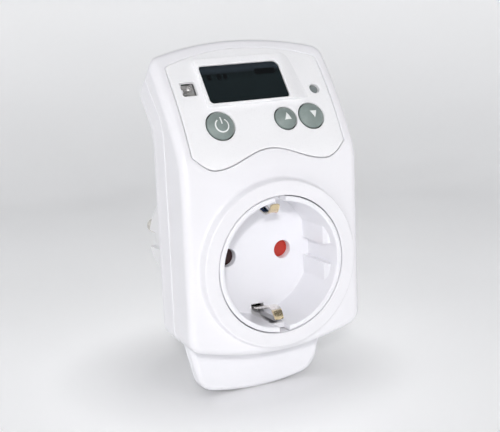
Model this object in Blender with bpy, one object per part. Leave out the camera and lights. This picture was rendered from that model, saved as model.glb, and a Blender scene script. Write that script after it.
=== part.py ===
# Plug-in power meter: a bent, hand-sized case with a display and buttons on its tilted upper half,
# a round earthed socket on its front and the matching two-pin plug on its back.
# Frame: metres, +Z up, the front faces -Y, +X is to the viewer's right.
# The origin is the centre of the plug's end face, and socket and plug share one axis, Y.

import math

import bmesh
import bpy
from mathutils import Matrix, Vector

mm = 0.001
gap = 0.3 * mm

# ---- driving sizes --------------------------------------------------------------------------

# depths along Y, measured from the plug's end face
bossY = -58.0 * mm          # front rim of the socket
faceY = -54.6 * mm          # lower front face of the case
seamY = -42.6 * mm          # joint between the front and the middle shell
coverSeamY = -36.3 * mm     # joint between the middle shell and the back cover
rearY = -33.0 * mm          # back of the case
plugBackY = -16.7 * mm      # where the plug body starts
pinTipY = 19.0 * mm

# the case seen from the front
halfWidth = 29.2 * mm
lowestZ = -28.0 * mm        # middle of the lower arc
arcRadius = 86.0 * mm       # radius of the arched top and bottom edges
cornerRadius = 3.5 * mm
overshoot = 0.02 * mm       # corner cutters start this far outside the sides
flare = 8.0 * mm            # how far their lower ends spread outside the sides
wall = 2.0 * mm
frontWall = 2.4 * mm

# side view: each line runs straight up and then bends back round (radius, end angle) arcs
frontLine = {"y": faceY, "bend": 27.5 * mm, "arcs": [(16.0 * mm, 26.0), (112.0 * mm, 41.0)]}
seamLine = {"y": seamY, "bend": 37.0 * mm, "arcs": [(13.5 * mm, 42.0)]}
coverLine = {"y": coverSeamY, "bend": 36.0 * mm, "arcs": [(13.0 * mm, 41.0)]}
rearLine = {"y": rearY, "bend": 35.0 * mm, "arcs": [(12.5 * mm, 41.0)]}
topRise = 9.6 * mm          # from the end of the front arcs to the crown of the top edge

# standard earthed socket and plug
contactX = 9.5 * mm
pinRadius = 2.4 * mm
plugRadius = 18.5 * mm
ringRadius = 20.55 * mm
recessRadius = 19.0 * mm
recessDepth = 17.3 * mm
floorThickness = 2.5 * mm
guideX = 16.9 * mm
guideSlot = 2.9 * mm
pinHoleRadius = 2.8 * mm

# control panel
panelThickness = 1.2 * mm
panelHalf = 25.2 * mm
buttons = {
    "power": {"x": -13.9 * mm, "z": 41.8 * mm, "radius": 4.3 * mm},
    "up": {"x": 7.8 * mm, "z": 42.0 * mm, "radius": 3.45 * mm},
    "down": {"x": 16.6 * mm, "z": 42.0 * mm, "radius": 4.0 * mm},
    "reset": {"x": 20.8 * mm, "z": 49.5 * mm, "radius": 1.3 * mm},
}
buttonGap = 0.35 * mm
buttonDome = 1.25 * mm      # how far the middle of a cap stands out of the panel
displayTilt = 37.3
displayZ = 53.5 * mm
displaySize = (26.2 * mm, 12.8 * mm)
displayShift = (-2.1 * mm, -1.1 * mm)
raisedBy = 1.25 * mm        # how far the display surround stands out of the panel
sensorX = -20.2 * mm
sensorZ = 52.5 * mm
sensorSide = 4.8 * mm
boardDepth = 7.2 * mm       # display board, measured in from its own tilted plane

# chin under the case
chinFrontY = -40.4 * mm
chinSeamY = -37.4 * mm
chinRearY = -25.0 * mm
chinFootZ = -43.5 * mm
chinCorner = 7.0 * mm
chinArch = 78.0 * mm        # radius of the foot's edge, seen from the front

palette = {
    "white_shell": ((0.92, 0.92, 0.94), 0.32, 0.0),
    "white_panel": ((0.93, 0.93, 0.95), 0.28, 0.0),
    "grey_rubber": ((0.36, 0.42, 0.40), 0.55, 0.0),
    "dark_glass": ((0.02, 0.03, 0.035), 0.12, 0.0),
    "display_cell": ((0.16, 0.20, 0.17), 0.30, 0.0),
    "nickel": ((0.72, 0.69, 0.62), 0.28, 1.0),
    "brass": ((0.80, 0.60, 0.28), 0.30, 1.0),
    "red_plastic": ((0.70, 0.05, 0.03), 0.38, 0.0),
    "black_plastic": ((0.03, 0.03, 0.035), 0.45, 0.0),
    "grey_plastic": ((0.30, 0.31, 0.32), 0.50, 0.0),
    "board_green": ((0.03, 0.22, 0.10), 0.42, 0.0),
    "steel": ((0.62, 0.62, 0.64), 0.35, 1.0),
    "blue_plastic": ((0.05, 0.16, 0.48), 0.40, 0.0),
    "yellow_plastic": ((0.82, 0.66, 0.10), 0.40, 0.0),
    "copper": ((0.80, 0.42, 0.26), 0.32, 1.0),
    "brown_plastic": ((0.26, 0.12, 0.05), 0.45, 0.0),
}


# ---- frames: (across, up, inwards) to the world ----------------------------------------------

def frame_from(origin, across, up, inwards):
    rows = [(across[i], up[i], inwards[i], origin[i]) for i in range(3)]
    return Matrix([*rows, (0.0, 0.0, 0.0, 1.0)])


def side_frame():
    return frame_from((0, 0, 0), (0, 1, 0), (0, 0, 1), (1, 0, 0))


def front_frame(x=0.0, y=0.0, z=0.0):
    return frame_from((x, y, z), (1, 0, 0), (0, 0, 1), (0, 1, 0))


def floor_frame(x=0.0, y=0.0, z=0.0):
    return frame_from((x, y, z), (1, 0, 0), (0, 1, 0), (0, 0, 1))


def tilted_frame(x, y, z, degrees):
    a = math.radians(degrees)
    return frame_from((x, y, z), (1, 0, 0), (0, math.sin(a), math.cos(a)), (0, math.cos(a), -math.sin(a)))


# ---- outlines --------------------------------------------------------------------------------

def arc(cx, cy, radius, start, end, steps):
    angles = [math.radians(start + (end - start) * i / steps) for i in range(steps + 1)]
    return [(cx + radius * math.cos(a), cy + radius * math.sin(a)) for a in angles]


def side_line(line, inwards=0.0, low=-60.0 * mm, tail=30.0 * mm):
    """Points (y, z) of a bent line moved inwards (towards the back)."""
    y = line["y"] + inwards
    z = line["bend"]
    points = [(y, low), (y, z)]
    angle = 0.0
    for radius, end in line["arcs"]:
        r = radius - inwards
        steps = max(3, round((end - angle) / 4.0))
        for i in range(1, steps + 1):
            a = math.radians(angle + (end - angle) * i / steps)
            start = math.radians(angle)
            across = r * (math.cos(start) - math.cos(a))
            up = r * (math.sin(a) - math.sin(start))
            points.append((y + across, z + up))
        y, z = points[-1]
        angle = end
    a = math.radians(angle)
    points.append((y + tail * math.sin(a), z + tail * math.cos(a)))
    return points


def front_at(z):
    """Depth and lean of the case's front surface at height z on its long upper arc."""
    (short, lean), (long, _) = frontLine["arcs"]
    a = math.radians(lean)
    z0 = frontLine["bend"] + short * math.sin(a)
    y0 = frontLine["y"] + short * (1 - math.cos(a))
    angle = math.asin(math.sin(a) + (z - z0) / long)
    return y0 + long * (math.cos(a) - math.cos(angle)), math.degrees(angle)


def surface_frame(x, z):
    y, lean = front_at(z)
    return tilted_frame(x, y, z, lean)


def end_frame():
    """Frame at the end of the front arcs, square to the tilted top."""
    y, z = side_line(frontLine, tail=0.0)[-1]
    return tilted_frame(0.0, y, z, frontLine["arcs"][-1][1])


def arched_outline(half, crown, radius, corner, depth):
    """Closed outline with an arched top edge and rounded corners; below them it spreads out by flare."""
    centre = crown - radius
    inner = half - corner
    reach = radius - corner
    lift = math.sqrt(reach * reach - inner * inner)
    turn = math.degrees(math.atan2(inner, lift))
    right = arc(inner, centre + lift, corner, 0.0, 90.0 - turn, 3)
    left = arc(-inner, centre + lift, corner, 90.0 + turn, 180.0, 3)
    top = arc(0.0, centre, radius, 90.0 - turn, 90.0 + turn, 12)[1:-1]
    return [(half + flare, -depth), *right, *top, *left, (-half - flare, -depth)]


def panel_outline(grow=0.0):
    """Outline (x, z) of the control panel: arched top, straight sides and a waved lower edge."""
    half = panelHalf + grow
    side = 34.2 * mm
    lobeX = 18.2 * mm
    lobeZ = 29.9 * mm - grow
    waveZ = 2.3 * mm
    crown = 62.7 * mm + grow
    top = [(x, z) for x, z in arched_outline(half, crown, 84.0 * mm, 0.6 * mm, 0.0)[1:-1]]
    lower = []
    steps = 5
    for i in range(steps):
        t = i / steps
        fall = (side - 29.9 * mm) * math.sin(t * math.pi / 2)
        lower.append((-half + t * (half - lobeX), side - grow - fall))
    waves = 16
    for i in range(waves + 1):
        x = -lobeX + 2 * lobeX * i / waves
        lower.append((x, lobeZ + waveZ + waveZ * math.cos(math.pi * x / lobeX)))
    for x, z in reversed(lower[:steps]):
        lower.append((-x, z))
    return top + lower


def shifted(points, dx, dy):
    return [(x + dx, y + dy) for x, y in points]


# ---- solids ----------------------------------------------------------------------------------

def solid(bm):
    bmesh.ops.recalc_face_normals(bm, faces=bm.faces)
    mesh = bpy.data.meshes.new("solid")
    bm.to_mesh(mesh)
    bm.free()
    body = bpy.data.objects.new("solid", mesh)
    bpy.context.scene.collection.objects.link(body)
    return body


def prism(points, frame, low, high):
    """An outline in a frame's plane, extruded along the frame's third axis from low to high."""
    bm = bmesh.new()
    base = bm.faces.new([bm.verts.new(frame @ Vector((x, y, low))) for x, y in points])
    grown = bmesh.ops.extrude_face_region(bm, geom=[base])
    tops = [v for v in grown["geom"] if isinstance(v, bmesh.types.BMVert)]
    shift = frame.to_3x3() @ Vector((0, 0, high - low))
    bmesh.ops.translate(bm, verts=tops, vec=shift)
    return solid(bm)


def box(x0, x1, y0, y1, z0, z1):
    return prism([(x0, y0), (x1, y0), (x1, y1), (x0, y1)], floor_frame(), z0, z1)


def block(frame, size, low, high, shift=(0.0, 0.0)):
    """A box of size (across, up) centred on a frame's axis."""
    w = size[0] / 2
    h = size[1] / 2
    corners = shifted([(-w, -h), (w, -h), (w, h), (-w, h)], *shift)
    return prism(corners, frame, low, high)


def turned(points, frame, segments, ring=False):
    """A profile of (radius, depth) points turned round a frame's third axis."""
    bm = bmesh.new()
    rows = []
    for radius, depth in points:
        count = 1 if radius == 0 else segments
        row = []
        for i in range(count):
            a = 2 * math.pi * i / segments
            row.append(bm.verts.new(frame @ Vector((radius * math.cos(a), radius * math.sin(a), depth))))
        rows.append(row)
    pairs = list(zip(rows, rows[1:]))
    if ring:
        pairs.append((rows[-1], rows[0]))
    for first, second in pairs:
        for i in range(segments):
            j = (i + 1) % segments
            corners = [first[i % len(first)], first[j % len(first)]]
            corners += [second[j % len(second)], second[i % len(second)]]
            bm.faces.new(list(dict.fromkeys(corners)))
    return solid(bm)


def rod(frame, radius, low, high, segments=24, shift=(0.0, 0.0)):
    circle = arc(*shift, radius, 0.0, 360.0, segments)[:-1]
    return prism(circle, frame, low, high)


def combine(body, operation, *tools):
    for tool in tools:
        step = body.modifiers.new("step", "BOOLEAN")
        step.operation = operation
        step.object = tool
        bpy.context.view_layer.objects.active = body
        bpy.ops.object.modifier_apply(modifier=step.name)
        bpy.data.objects.remove(tool)
    return body


def cut(body, *tools):
    return combine(body, "DIFFERENCE", *tools)


def join(body, *tools):
    return combine(body, "UNION", *tools)


def keep(body, *tools):
    return combine(body, "INTERSECT", *tools)


def rounded(body, width, segments=1, angle=50.0):
    step = body.modifiers.new("edge", "BEVEL")
    step.width = width
    step.segments = segments
    step.limit_method = "ANGLE"
    step.angle_limit = math.radians(angle)
    bpy.context.view_layer.objects.active = body
    bpy.ops.object.modifier_apply(modifier=step.name)
    return body


def finish(body, name, colour):
    """Name a solid, weld its seams and give it its own material."""
    bm = bmesh.new()
    bm.from_mesh(body.data)
    bmesh.ops.remove_doubles(bm, verts=bm.verts, dist=0.001 * mm)
    bmesh.ops.recalc_face_normals(bm, faces=bm.faces)
    bm.to_mesh(body.data)
    bm.free()
    rgb, rough, metal = palette[colour]
    paint = bpy.data.materials.new(name)
    paint.use_nodes = True
    shader = paint.node_tree.nodes["Principled BSDF"]
    shader.inputs["Base Color"].default_value = (*rgb, 1.0)
    shader.inputs["Roughness"].default_value = rough
    shader.inputs["Metallic"].default_value = metal
    body.data.materials.clear()
    body.data.materials.append(paint)
    body.data.shade_smooth()
    body.data.set_sharp_from_angle(angle=math.radians(35.0))
    body.name = name
    body.data.name = name
    return body


def pivot(body, frame):
    """Move a body's origin to a frame's origin, leaving its shape where it is."""
    place = Matrix.Translation(frame.to_translation())
    body.data.transform(place.inverted())
    body.matrix_world = place
    return body


# ---- case ------------------------------------------------------------------------------------

def case_outline(body, inset=0.0):
    """Trim a body to the arched top and bottom edges, inset from the outside."""
    half = halfWidth - inset
    corner = max(cornerRadius - inset, 1.0 * mm)
    top = arched_outline(half + overshoot, topRise - inset, arcRadius - inset, corner, 130.0 * mm)
    low = arched_outline(half + overshoot, -lowestZ - inset, arcRadius - inset, corner, 130.0 * mm)
    upside_down = [(x, -z) for x, z in low]
    return keep(
        body,
        box(-half, half, -90 * mm, 30 * mm, -90 * mm, 90 * mm),
        prism(top, end_frame(), -60 * mm, 60 * mm),
        prism(upside_down, front_frame(), -90 * mm, 30 * mm),
    )


def between(front, back, front_in=0.0, back_in=0.0):
    """A wide slab between two bent lines."""
    outline = side_line(front, front_in) + side_line(back, back_in)[::-1]
    return prism(outline, side_frame(), -40 * mm, 40 * mm)


def case_solid():
    return rounded(case_outline(between(frontLine, rearLine)), 2.0 * mm)


def case_hollow():
    return case_outline(between(frontLine, rearLine, frontWall, 6 * mm), wall)


def boss():
    profile = [(0, 5.4 * mm), (26.3 * mm, 5.4 * mm), (26.3 * mm, 3.4 * mm), (25.5 * mm, 2.6 * mm),
               (25.3 * mm, 0.5 * mm), (24.7 * mm, 0), (0, 0)]
    return turned(profile, front_frame(0, bossY, 0), 36)


def button_frame(name):
    return surface_frame(buttons[name]["x"], buttons[name]["z"])


def display_frame():
    """Centre of the flat raised field round the display."""
    low, high = 47.0 * mm, 60.0 * mm
    middle = (front_at(low)[0] + front_at(high)[0]) / 2
    return tilted_frame(0.0, middle, displayZ, displayTilt)


def make_front_shell():
    body = case_solid()
    keep(body, between(frontLine, seamLine, -20 * mm, 0.0))
    hollow = case_hollow()
    cut(body, hollow)
    ring = boss()
    join(body, ring)
    cut(body, rod(front_frame(0, bossY, 0), ringRadius + gap, -5 * mm, 20 * mm, 36))
    pocket = prism(panel_outline(0.35 * mm), front_frame(), -90 * mm, 0)
    keep(pocket, between(frontLine, frontLine, -6 * mm, panelThickness + gap))
    cut(body, pocket)
    opening = prism(panel_outline(-2.2 * mm), front_frame(), -90 * mm, 0)
    keep(opening, between(frontLine, frontLine, -6 * mm, 8 * mm))
    cut(body, opening)
    return finish(body, "front_shell", "white_shell")


def make_middle_shell():
    body = case_solid()
    keep(body, between(seamLine, coverLine, gap, 0.0))
    hollow = case_outline(between(seamLine, coverLine, -8 * mm, 8 * mm), wall)
    cut(hollow, box(-40 * mm, 40 * mm, -37.9 * mm, 0, -60 * mm, -17.8 * mm))
    cut(body, hollow)
    for x, z in screw_places():
        post = rod(front_frame(x, 0, z), 3.9 * mm, seamY + 1 * mm, coverSeamY - 0.4 * mm, 14)
        join(body, post)
        cut(body, rod(front_frame(x, 0, z), 1.5 * mm, seamY - 5 * mm, coverSeamY + 5 * mm, 12))
    return finish(body, "middle_shell", "white_shell")


def make_back_cover():
    body = case_solid()
    keep(body, between(coverLine, rearLine, gap, 10 * mm))
    cut(body, box(-40 * mm, 40 * mm, -60 * mm, 0, -60 * mm, -17.5 * mm))
    profile = [(0, -2.7 * mm), (22.0 * mm, -2.7 * mm), (22.0 * mm, 0), (21.4 * mm, 1.0 * mm),
               (20.0 * mm, 16.0 * mm), (0, 16.0 * mm)]
    pedestal = turned(profile, front_frame(0, rearY, 0), 32)
    cut(pedestal, box(-40 * mm, 40 * mm, -60 * mm, rearY + 0.01 * mm, -60 * mm, -17.5 * mm))
    join(body, pedestal)
    cut(body, rod(front_frame(0, rearY, 0), 18.6 * mm, -10 * mm, 14.0 * mm, 32))
    cut(body, rod(front_frame(0, rearY, 0), 14.0 * mm, 10 * mm, 20 * mm, 24))
    for x, z in screw_places():
        cut(body, rod(front_frame(x, 0, z), 1.5 * mm, -50 * mm, -20 * mm, 12))
        cut(body, rod(front_frame(x, 0, z), 2.9 * mm, rearY - 1.9 * mm, -20 * mm, 16))
    return finish(body, "back_cover", "white_shell")


def screw_places():
    return [(side * 23.7 * mm, z) for z in (-12.5 * mm, 27.0 * mm) for side in (-1, 1)]


def make_screws():
    profile = [(0, 0), (1.2 * mm, 0), (1.2 * mm, 6.5 * mm), (2.5 * mm, 6.5 * mm), (2.5 * mm, 7.7 * mm),
               (1.9 * mm, 8.1 * mm), (0, 8.1 * mm)]
    for (x, z), place in zip(screw_places(), ("low_left", "low_right", "high_left", "high_right")):
        head = rearY - 1.6 * mm
        frame = front_frame(x, head - 6.5 * mm, z)
        body = turned(profile, frame, 12)
        cut(body, block(frame, (3.2 * mm, 0.7 * mm), 7.5 * mm, 9 * mm))
        cut(body, block(frame, (0.7 * mm, 3.2 * mm), 7.5 * mm, 9 * mm))
        finish(body, "case_screw_" + place, "steel")


# ---- control panel ---------------------------------------------------------------------------

def make_fascia():
    body = prism(panel_outline(), front_frame(), -90 * mm, 0)
    keep(body, between(frontLine, frontLine, 0.0, panelThickness))
    field = display_frame()
    corners = [(-16.2 * mm, -8.3 * mm), (17.6 * mm, -8.3 * mm)]
    corners += [(15.2 * mm, 8.0 * mm), (-16.2 * mm, 8.0 * mm)]
    raised = prism(corners, field, -raisedBy, 1.0 * mm)
    join(body, rounded(raised, 0.5 * mm, 1))
    cut(body, block(field, [s + 2 * gap for s in displaySize], -5 * mm, 6 * mm, displayShift))
    for name, button in buttons.items():
        cut(body, rod(button_frame(name), button["radius"] + buttonGap, -5 * mm, 4 * mm, 20))
    cut(body, block(surface_frame(sensorX, sensorZ), (sensorSide, sensorSide), -5 * mm, 4 * mm))
    return finish(body, "fascia", "white_panel")


def make_display():
    field = display_frame()
    window = block(field, displaySize, -raisedBy + 0.35 * mm, 1.1 * mm, displayShift)
    finish(rounded(window, 0.3 * mm, 1), "lcd_window", "dark_glass")
    cell = block(field, (27.6 * mm, 13.6 * mm), 2.2 * mm, 4.4 * mm, displayShift)
    finish(cell, "lcd_cell", "display_cell")
    holder = block(field, (30.4 * mm, 15.8 * mm), 2.2 * mm, 5.0 * mm, displayShift)
    cut(holder, block(field, (28.3 * mm, 14.3 * mm), 0, 8 * mm, displayShift))
    finish(holder, "lcd_holder", "grey_plastic")


def make_buttons():
    for name, button in buttons.items():
        frame = button_frame(name)
        r = button["radius"]
        dome = buttonDome
        if name == "reset":
            profile = [(0, 0.5 * mm), (r, 0.7 * mm), (r, 2.6 * mm), (0.8 * mm, 2.6 * mm),
                       (0.8 * mm, 3.6 * mm), (0, 3.6 * mm)]
        else:
            profile = [(0, -dome), (0.45 * r, -0.82 * dome), (0.8 * r, -0.4 * dome), (r, 0.1 * mm),
                       (r, 1.5 * mm), (1.3 * mm, 1.5 * mm), (1.3 * mm, 4.2 * mm), (0, 4.2 * mm)]
        body = turned(profile, frame, 20)
        finish(pivot(body, frame), name + "_button", "grey_rubber")


def board_frame():
    """Plane of the display board: parallel to the chord of the tilted front."""
    return tilted_frame(0.0, -53.0 * mm, 34.5 * mm, 33.3)


def on_board(x, z):
    """Where the line into the case from a point of the front meets the board's plane."""
    frame = board_frame()
    start = surface_frame(x, z)
    local = frame.inverted() @ start
    origin = local.to_translation()
    along = local.to_3x3() @ Vector((0, 0, 1))
    steps = (boardDepth - origin.z) / along.z
    return origin.x, origin.y + along.y * steps


def make_display_board():
    frame = board_frame()
    board = block(frame, (50.0 * mm, 27.0 * mm), boardDepth, boardDepth + 1.6 * mm, (0, 14.6 * mm))
    for x in (-22.5 * mm, 22.5 * mm):
        cut(board, rod(frame, 1.3 * mm, 0, 20 * mm, 12, (x, 3.6 * mm)))
    finish(board, "display_board", "board_green")
    for name, button in buttons.items():
        x, up = on_board(button["x"], button["z"])
        side = 4.2 * mm if name in ("up", "reset") else 5.6 * mm
        top = 4.9 * mm
        switch = block(frame, (side, side), top + 0.9 * mm, boardDepth - gap, (x, up))
        join(switch, rod(frame, 1.1 * mm, top, boardDepth - 1 * mm, 12, (x, up)))
        finish(switch, name + "_switch", "black_plastic")
    x, up = on_board(sensorX, sensorZ)
    eye = block(frame, (4.0 * mm, 4.0 * mm), 3.2 * mm, boardDepth - gap, (x, up))
    cut(eye, rod(frame, 1.4 * mm, 0, 3.8 * mm, 16, (x, up)))
    finish(eye, "sensor_element", "steel")
    for x, side in ((-22.5 * mm, "left"), (22.5 * mm, "right")):
        centre = frame @ Matrix.Translation((x, 3.6 * mm, boardDepth - gap - 1.2 * mm))
        profile = [(0, 0), (2.0 * mm, 0.3 * mm), (2.0 * mm, 1.2 * mm), (1.0 * mm, 1.2 * mm),
                   (1.0 * mm, 4.0 * mm), (0, 4.0 * mm)]
        screw = turned(profile, centre, 12)
        finish(screw, "board_screw_" + side, "steel")


# ---- socket ----------------------------------------------------------------------------------

def make_socket_insert():
    frame = front_frame(0, bossY, 0)
    back = recessDepth + floorThickness
    cup = [(0, 0), (ringRadius - 0.35 * mm, 0), (ringRadius, 0.35 * mm), (ringRadius, 6.1 * mm),
           (22.6 * mm, 6.1 * mm), (22.6 * mm, 7.6 * mm), (ringRadius, 7.6 * mm),
           (ringRadius, back), (0, back)]
    body = turned(cup, frame, 36)
    cut(body, rod(frame, recessRadius, -5 * mm, 3.4 * mm, 36))
    flats = rod(frame, recessRadius, 3 * mm, recessDepth, 36)
    keep(flats, block(frame, (2 * guideX, 60 * mm), -5 * mm, 30 * mm))
    cut(body, flats)
    slots = rod(frame, recessRadius - 0.1 * mm, 3 * mm, recessDepth - 0.2 * mm, 36)
    keep(slots, block(frame, (60 * mm, 2 * guideSlot), -5 * mm, 30 * mm))
    cut(body, slots)
    for side in (-1, 1):
        cut(body, rod(frame, pinHoleRadius, 10 * mm, 30 * mm, 16, (side * contactX, 0)))
        cut(body, block(frame, (3.5 * mm, 6 * mm), -5 * mm, 4.0 * mm, (0, side * 21 * mm)))
        cut(body, block(frame, (4.4 * mm, 4.6 * mm), 5.0 * mm, 30 * mm, (0, side * 18.3 * mm)))
    return finish(body, "socket_insert", "white_shell")


def clip_outline(side):
    """Side view (y, z) of an earthing clip: out of the floor, over a crown and down behind the rim."""
    inner = [(-36.9, 16.9), (-42.0, 16.6), (-47.5, 14.9), (-51.5, 14.2), (-54.0, 15.4), (-54.9, 17.6)]
    outer = [(-54.1, 17.9), (-53.3, 16.2), (-51.3, 15.1), (-47.7, 15.8), (-42.2, 17.4), (-36.9, 17.7)]
    return [(y * mm, side * z * mm) for y, z in inner + outer]


def make_earth():
    for side, place in ((1, "top"), (-1, "bottom")):
        clip = prism(clip_outline(side), side_frame(), -1.6 * mm, 1.6 * mm)
        finish(clip, "earth_clip_" + place, "nickel")
        strip = box(-2.1 * mm, 2.1 * mm, -11.0 * mm, -0.6 * mm, 17.65 * mm, 18.35 * mm)
        if side < 0:
            strip.data.transform(Matrix.Scale(-1, 4, (0, 0, 1)))
            strip.data.flip_normals()
        finish(strip, "plug_earth_" + place, "nickel")
    bridge = [(-35.9, 17.5), (-29.0, 17.5), (-29.0, -17.5), (-35.9, -17.5),
              (-35.9, -18.2), (-28.3, -18.2), (-28.3, 18.2), (-35.9, 18.2)]
    strap = prism([(y * mm, z * mm) for y, z in bridge], side_frame(), -2.0 * mm, 2.0 * mm)
    finish(strap, "earth_bridge", "brass")


def make_contacts():
    carrier = rod(front_frame(), 16.9 * mm, -36.2 * mm, -29.4 * mm, 32)
    join(carrier, rod(front_frame(), 1.9 * mm, -37.9 * mm, -35 * mm, 16))
    for side in (-1, 1):
        x = side * contactX
        cut(carrier, box(x - 4.2 * mm, x + 4.2 * mm, -40 * mm, -20 * mm, -3.6 * mm, 3.6 * mm))
    finish(carrier, "contact_carrier", "black_plastic")
    for side, name in ((-1, "left"), (1, "right")):
        x = side * contactX
        jaw = [(-3.4, -35.8), (-2.6, -35.8), (-2.0, -33.5), (-2.6, -31.0), (-2.6, -26.4), (2.6, -26.4),
               (2.6, -31.0), (2.0, -33.5), (2.6, -35.8), (3.4, -35.8), (2.8, -33.5), (3.4, -31.0),
               (3.4, -25.6), (-3.4, -25.6), (-3.4, -31.0), (-2.8, -33.5)]
        outline = [(x + a * mm, b * mm) for a, b in jaw]
        finish(prism(outline, floor_frame(), -2.6 * mm, 2.6 * mm), "contact_" + name, "brass")


def make_shutter():
    frame = front_frame(0, -37.9 * mm, 0)
    plate = rod(frame, 4.2 * mm, 0, 1.1 * mm, 16)
    join(plate, block(frame, (2 * contactX, 4.6 * mm), 0, 1.1 * mm))
    for side in (-1, 1):
        join(plate, rod(frame, 3.7 * mm, 0, 1.1 * mm, 14, (side * contactX, 0)))
    cut(plate, rod(frame, 2.3 * mm, -1 * mm, 5 * mm, 16))
    finish(pivot(plate, frame), "safety_shutter", "red_plastic")
    loop = []
    for i in range(6):
        a = 2 * math.pi * i / 6
        loop.append(((3.2 + 0.22 * math.cos(a)) * mm, (-36.52 + 0.14 * math.sin(a)) * mm))
    finish(turned(loop, front_frame(), 16, ring=True), "shutter_spring", "steel")


# ---- plug ------------------------------------------------------------------------------------

def make_plug():
    body = rounded(rod(front_frame(), plugRadius, plugBackY, 0.0, 40), 1.0 * mm)
    for side in (-1, 1):
        cut(body, rod(front_frame(), pinRadius + gap, -60 * mm, 10 * mm, 20, (side * contactX, 0)))
        cut(body, block(front_frame(), (4.6 * mm, 5.4 * mm), -13.5 * mm, 5 * mm, (side * 18.6 * mm, 0)))
        cut(body, block(front_frame(), (4.8 * mm, 3.0 * mm), -11.4 * mm, 5 * mm, (0, side * 18.8 * mm)))
    finish(body, "plug_body", "white_shell")
    pin = [(0, -22 * mm), (pinRadius, -22 * mm), (pinRadius, pinTipY - 1.6 * mm),
           (1.9 * mm, pinTipY - 0.6 * mm), (1.0 * mm, pinTipY), (0, pinTipY)]
    for side, name in ((-1, "left"), (1, "right")):
        finish(turned(pin, front_frame(side * contactX, 0, 0), 20), "pin_" + name, "nickel")


# ---- electronics -----------------------------------------------------------------------------

def make_main_board():
    front = -39.5 * mm
    thick = 1.6 * mm
    board = box(-19.4 * mm, 19.4 * mm, front, front + thick, 21.6 * mm, 34.6 * mm)
    finish(board, "main_board", "board_green")
    seat = front - gap
    relay = box(0.4 * mm, 19.0 * mm, seat - 9.0 * mm, seat, 22.2 * mm, 30.2 * mm)
    finish(rounded(relay, 0.6 * mm, 1), "relay", "blue_plastic")
    film = box(-18.8 * mm, -8.0 * mm, seat - 8.5 * mm, seat, 22.2 * mm, 27.2 * mm)
    finish(rounded(film, 0.6 * mm, 1), "film_capacitor", "yellow_plastic")
    can = [(0, 0), (2.6 * mm, 0), (2.6 * mm, 8.6 * mm), (0, 8.6 * mm)]
    can = turned(can, front_frame(-4.4 * mm, seat - 8.6 * mm, 25.6 * mm), 16)
    finish(can, "electrolytic_capacitor", "black_plastic")
    fuse = rod(front_frame(-16.9 * mm, 0, 29.7 * mm), 1.9 * mm, seat - 3.8 * mm, seat, 14)
    finish(fuse, "fuse", "brown_plastic")
    across = tilted_frame(-11.8 * mm, seat - 2.2 * mm, 30.2 * mm, 90.0)
    disc = rod(across, 1.9 * mm, -1.2 * mm, 1.2 * mm, 14)
    finish(disc, "varistor", "blue_plastic")
    meter = box(-6.5 * mm, -1.0 * mm, seat - 1.5 * mm, seat, 29.8 * mm, 33.8 * mm)
    finish(meter, "metering_chip", "black_plastic")
    shunt = box(8.0 * mm, 18.0 * mm, seat - 2.2 * mm, seat, 30.6 * mm, 32.5 * mm)
    cut(shunt, box(9.2 * mm, 16.8 * mm, seat - 1.3 * mm, seat + 5 * mm, 30 * mm, 36 * mm))
    finish(shunt, "shunt", "copper")
    frame = board_frame()
    behind = boardDepth + 1.6 * mm + gap
    chip = block(frame, (9.0 * mm, 9.0 * mm), behind, behind + 1.4 * mm, (-8.0 * mm, 20.0 * mm))
    finish(chip, "controller_chip", "black_plastic")
    cell = rod(frame, 4.0 * mm, behind, behind + 1.4 * mm, 20, (10.0 * mm, 9.0 * mm))
    finish(cell, "backup_cell", "steel")
    link = block(frame, (14.0 * mm, 2.4 * mm), behind, behind + 2.6 * mm, (-8.0 * mm, 10.2 * mm))
    finish(link, "board_link", "black_plastic")


# ---- chin ------------------------------------------------------------------------------------

def chin_outline():
    """Outline (x, z) of the chin: sides that lean in, large lower corners and a gently arched foot."""
    arch = chinArch - chinCorner
    inner = 21.4 * mm - chinCorner
    turn = math.degrees(math.asin(inner / arch))
    height = chinFootZ + chinArch - math.sqrt(arch * arch - inner * inner)
    corner = arc(inner, height, chinCorner, -12.0, turn - 90.0, 5)
    right = [(25.6 * mm, -19.0 * mm), *corner, (12.0 * mm, chinFootZ + 0.93 * mm), (8.0 * mm, chinFootZ)]
    return right + [(-x, z) for x, z in reversed(right)]


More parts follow.
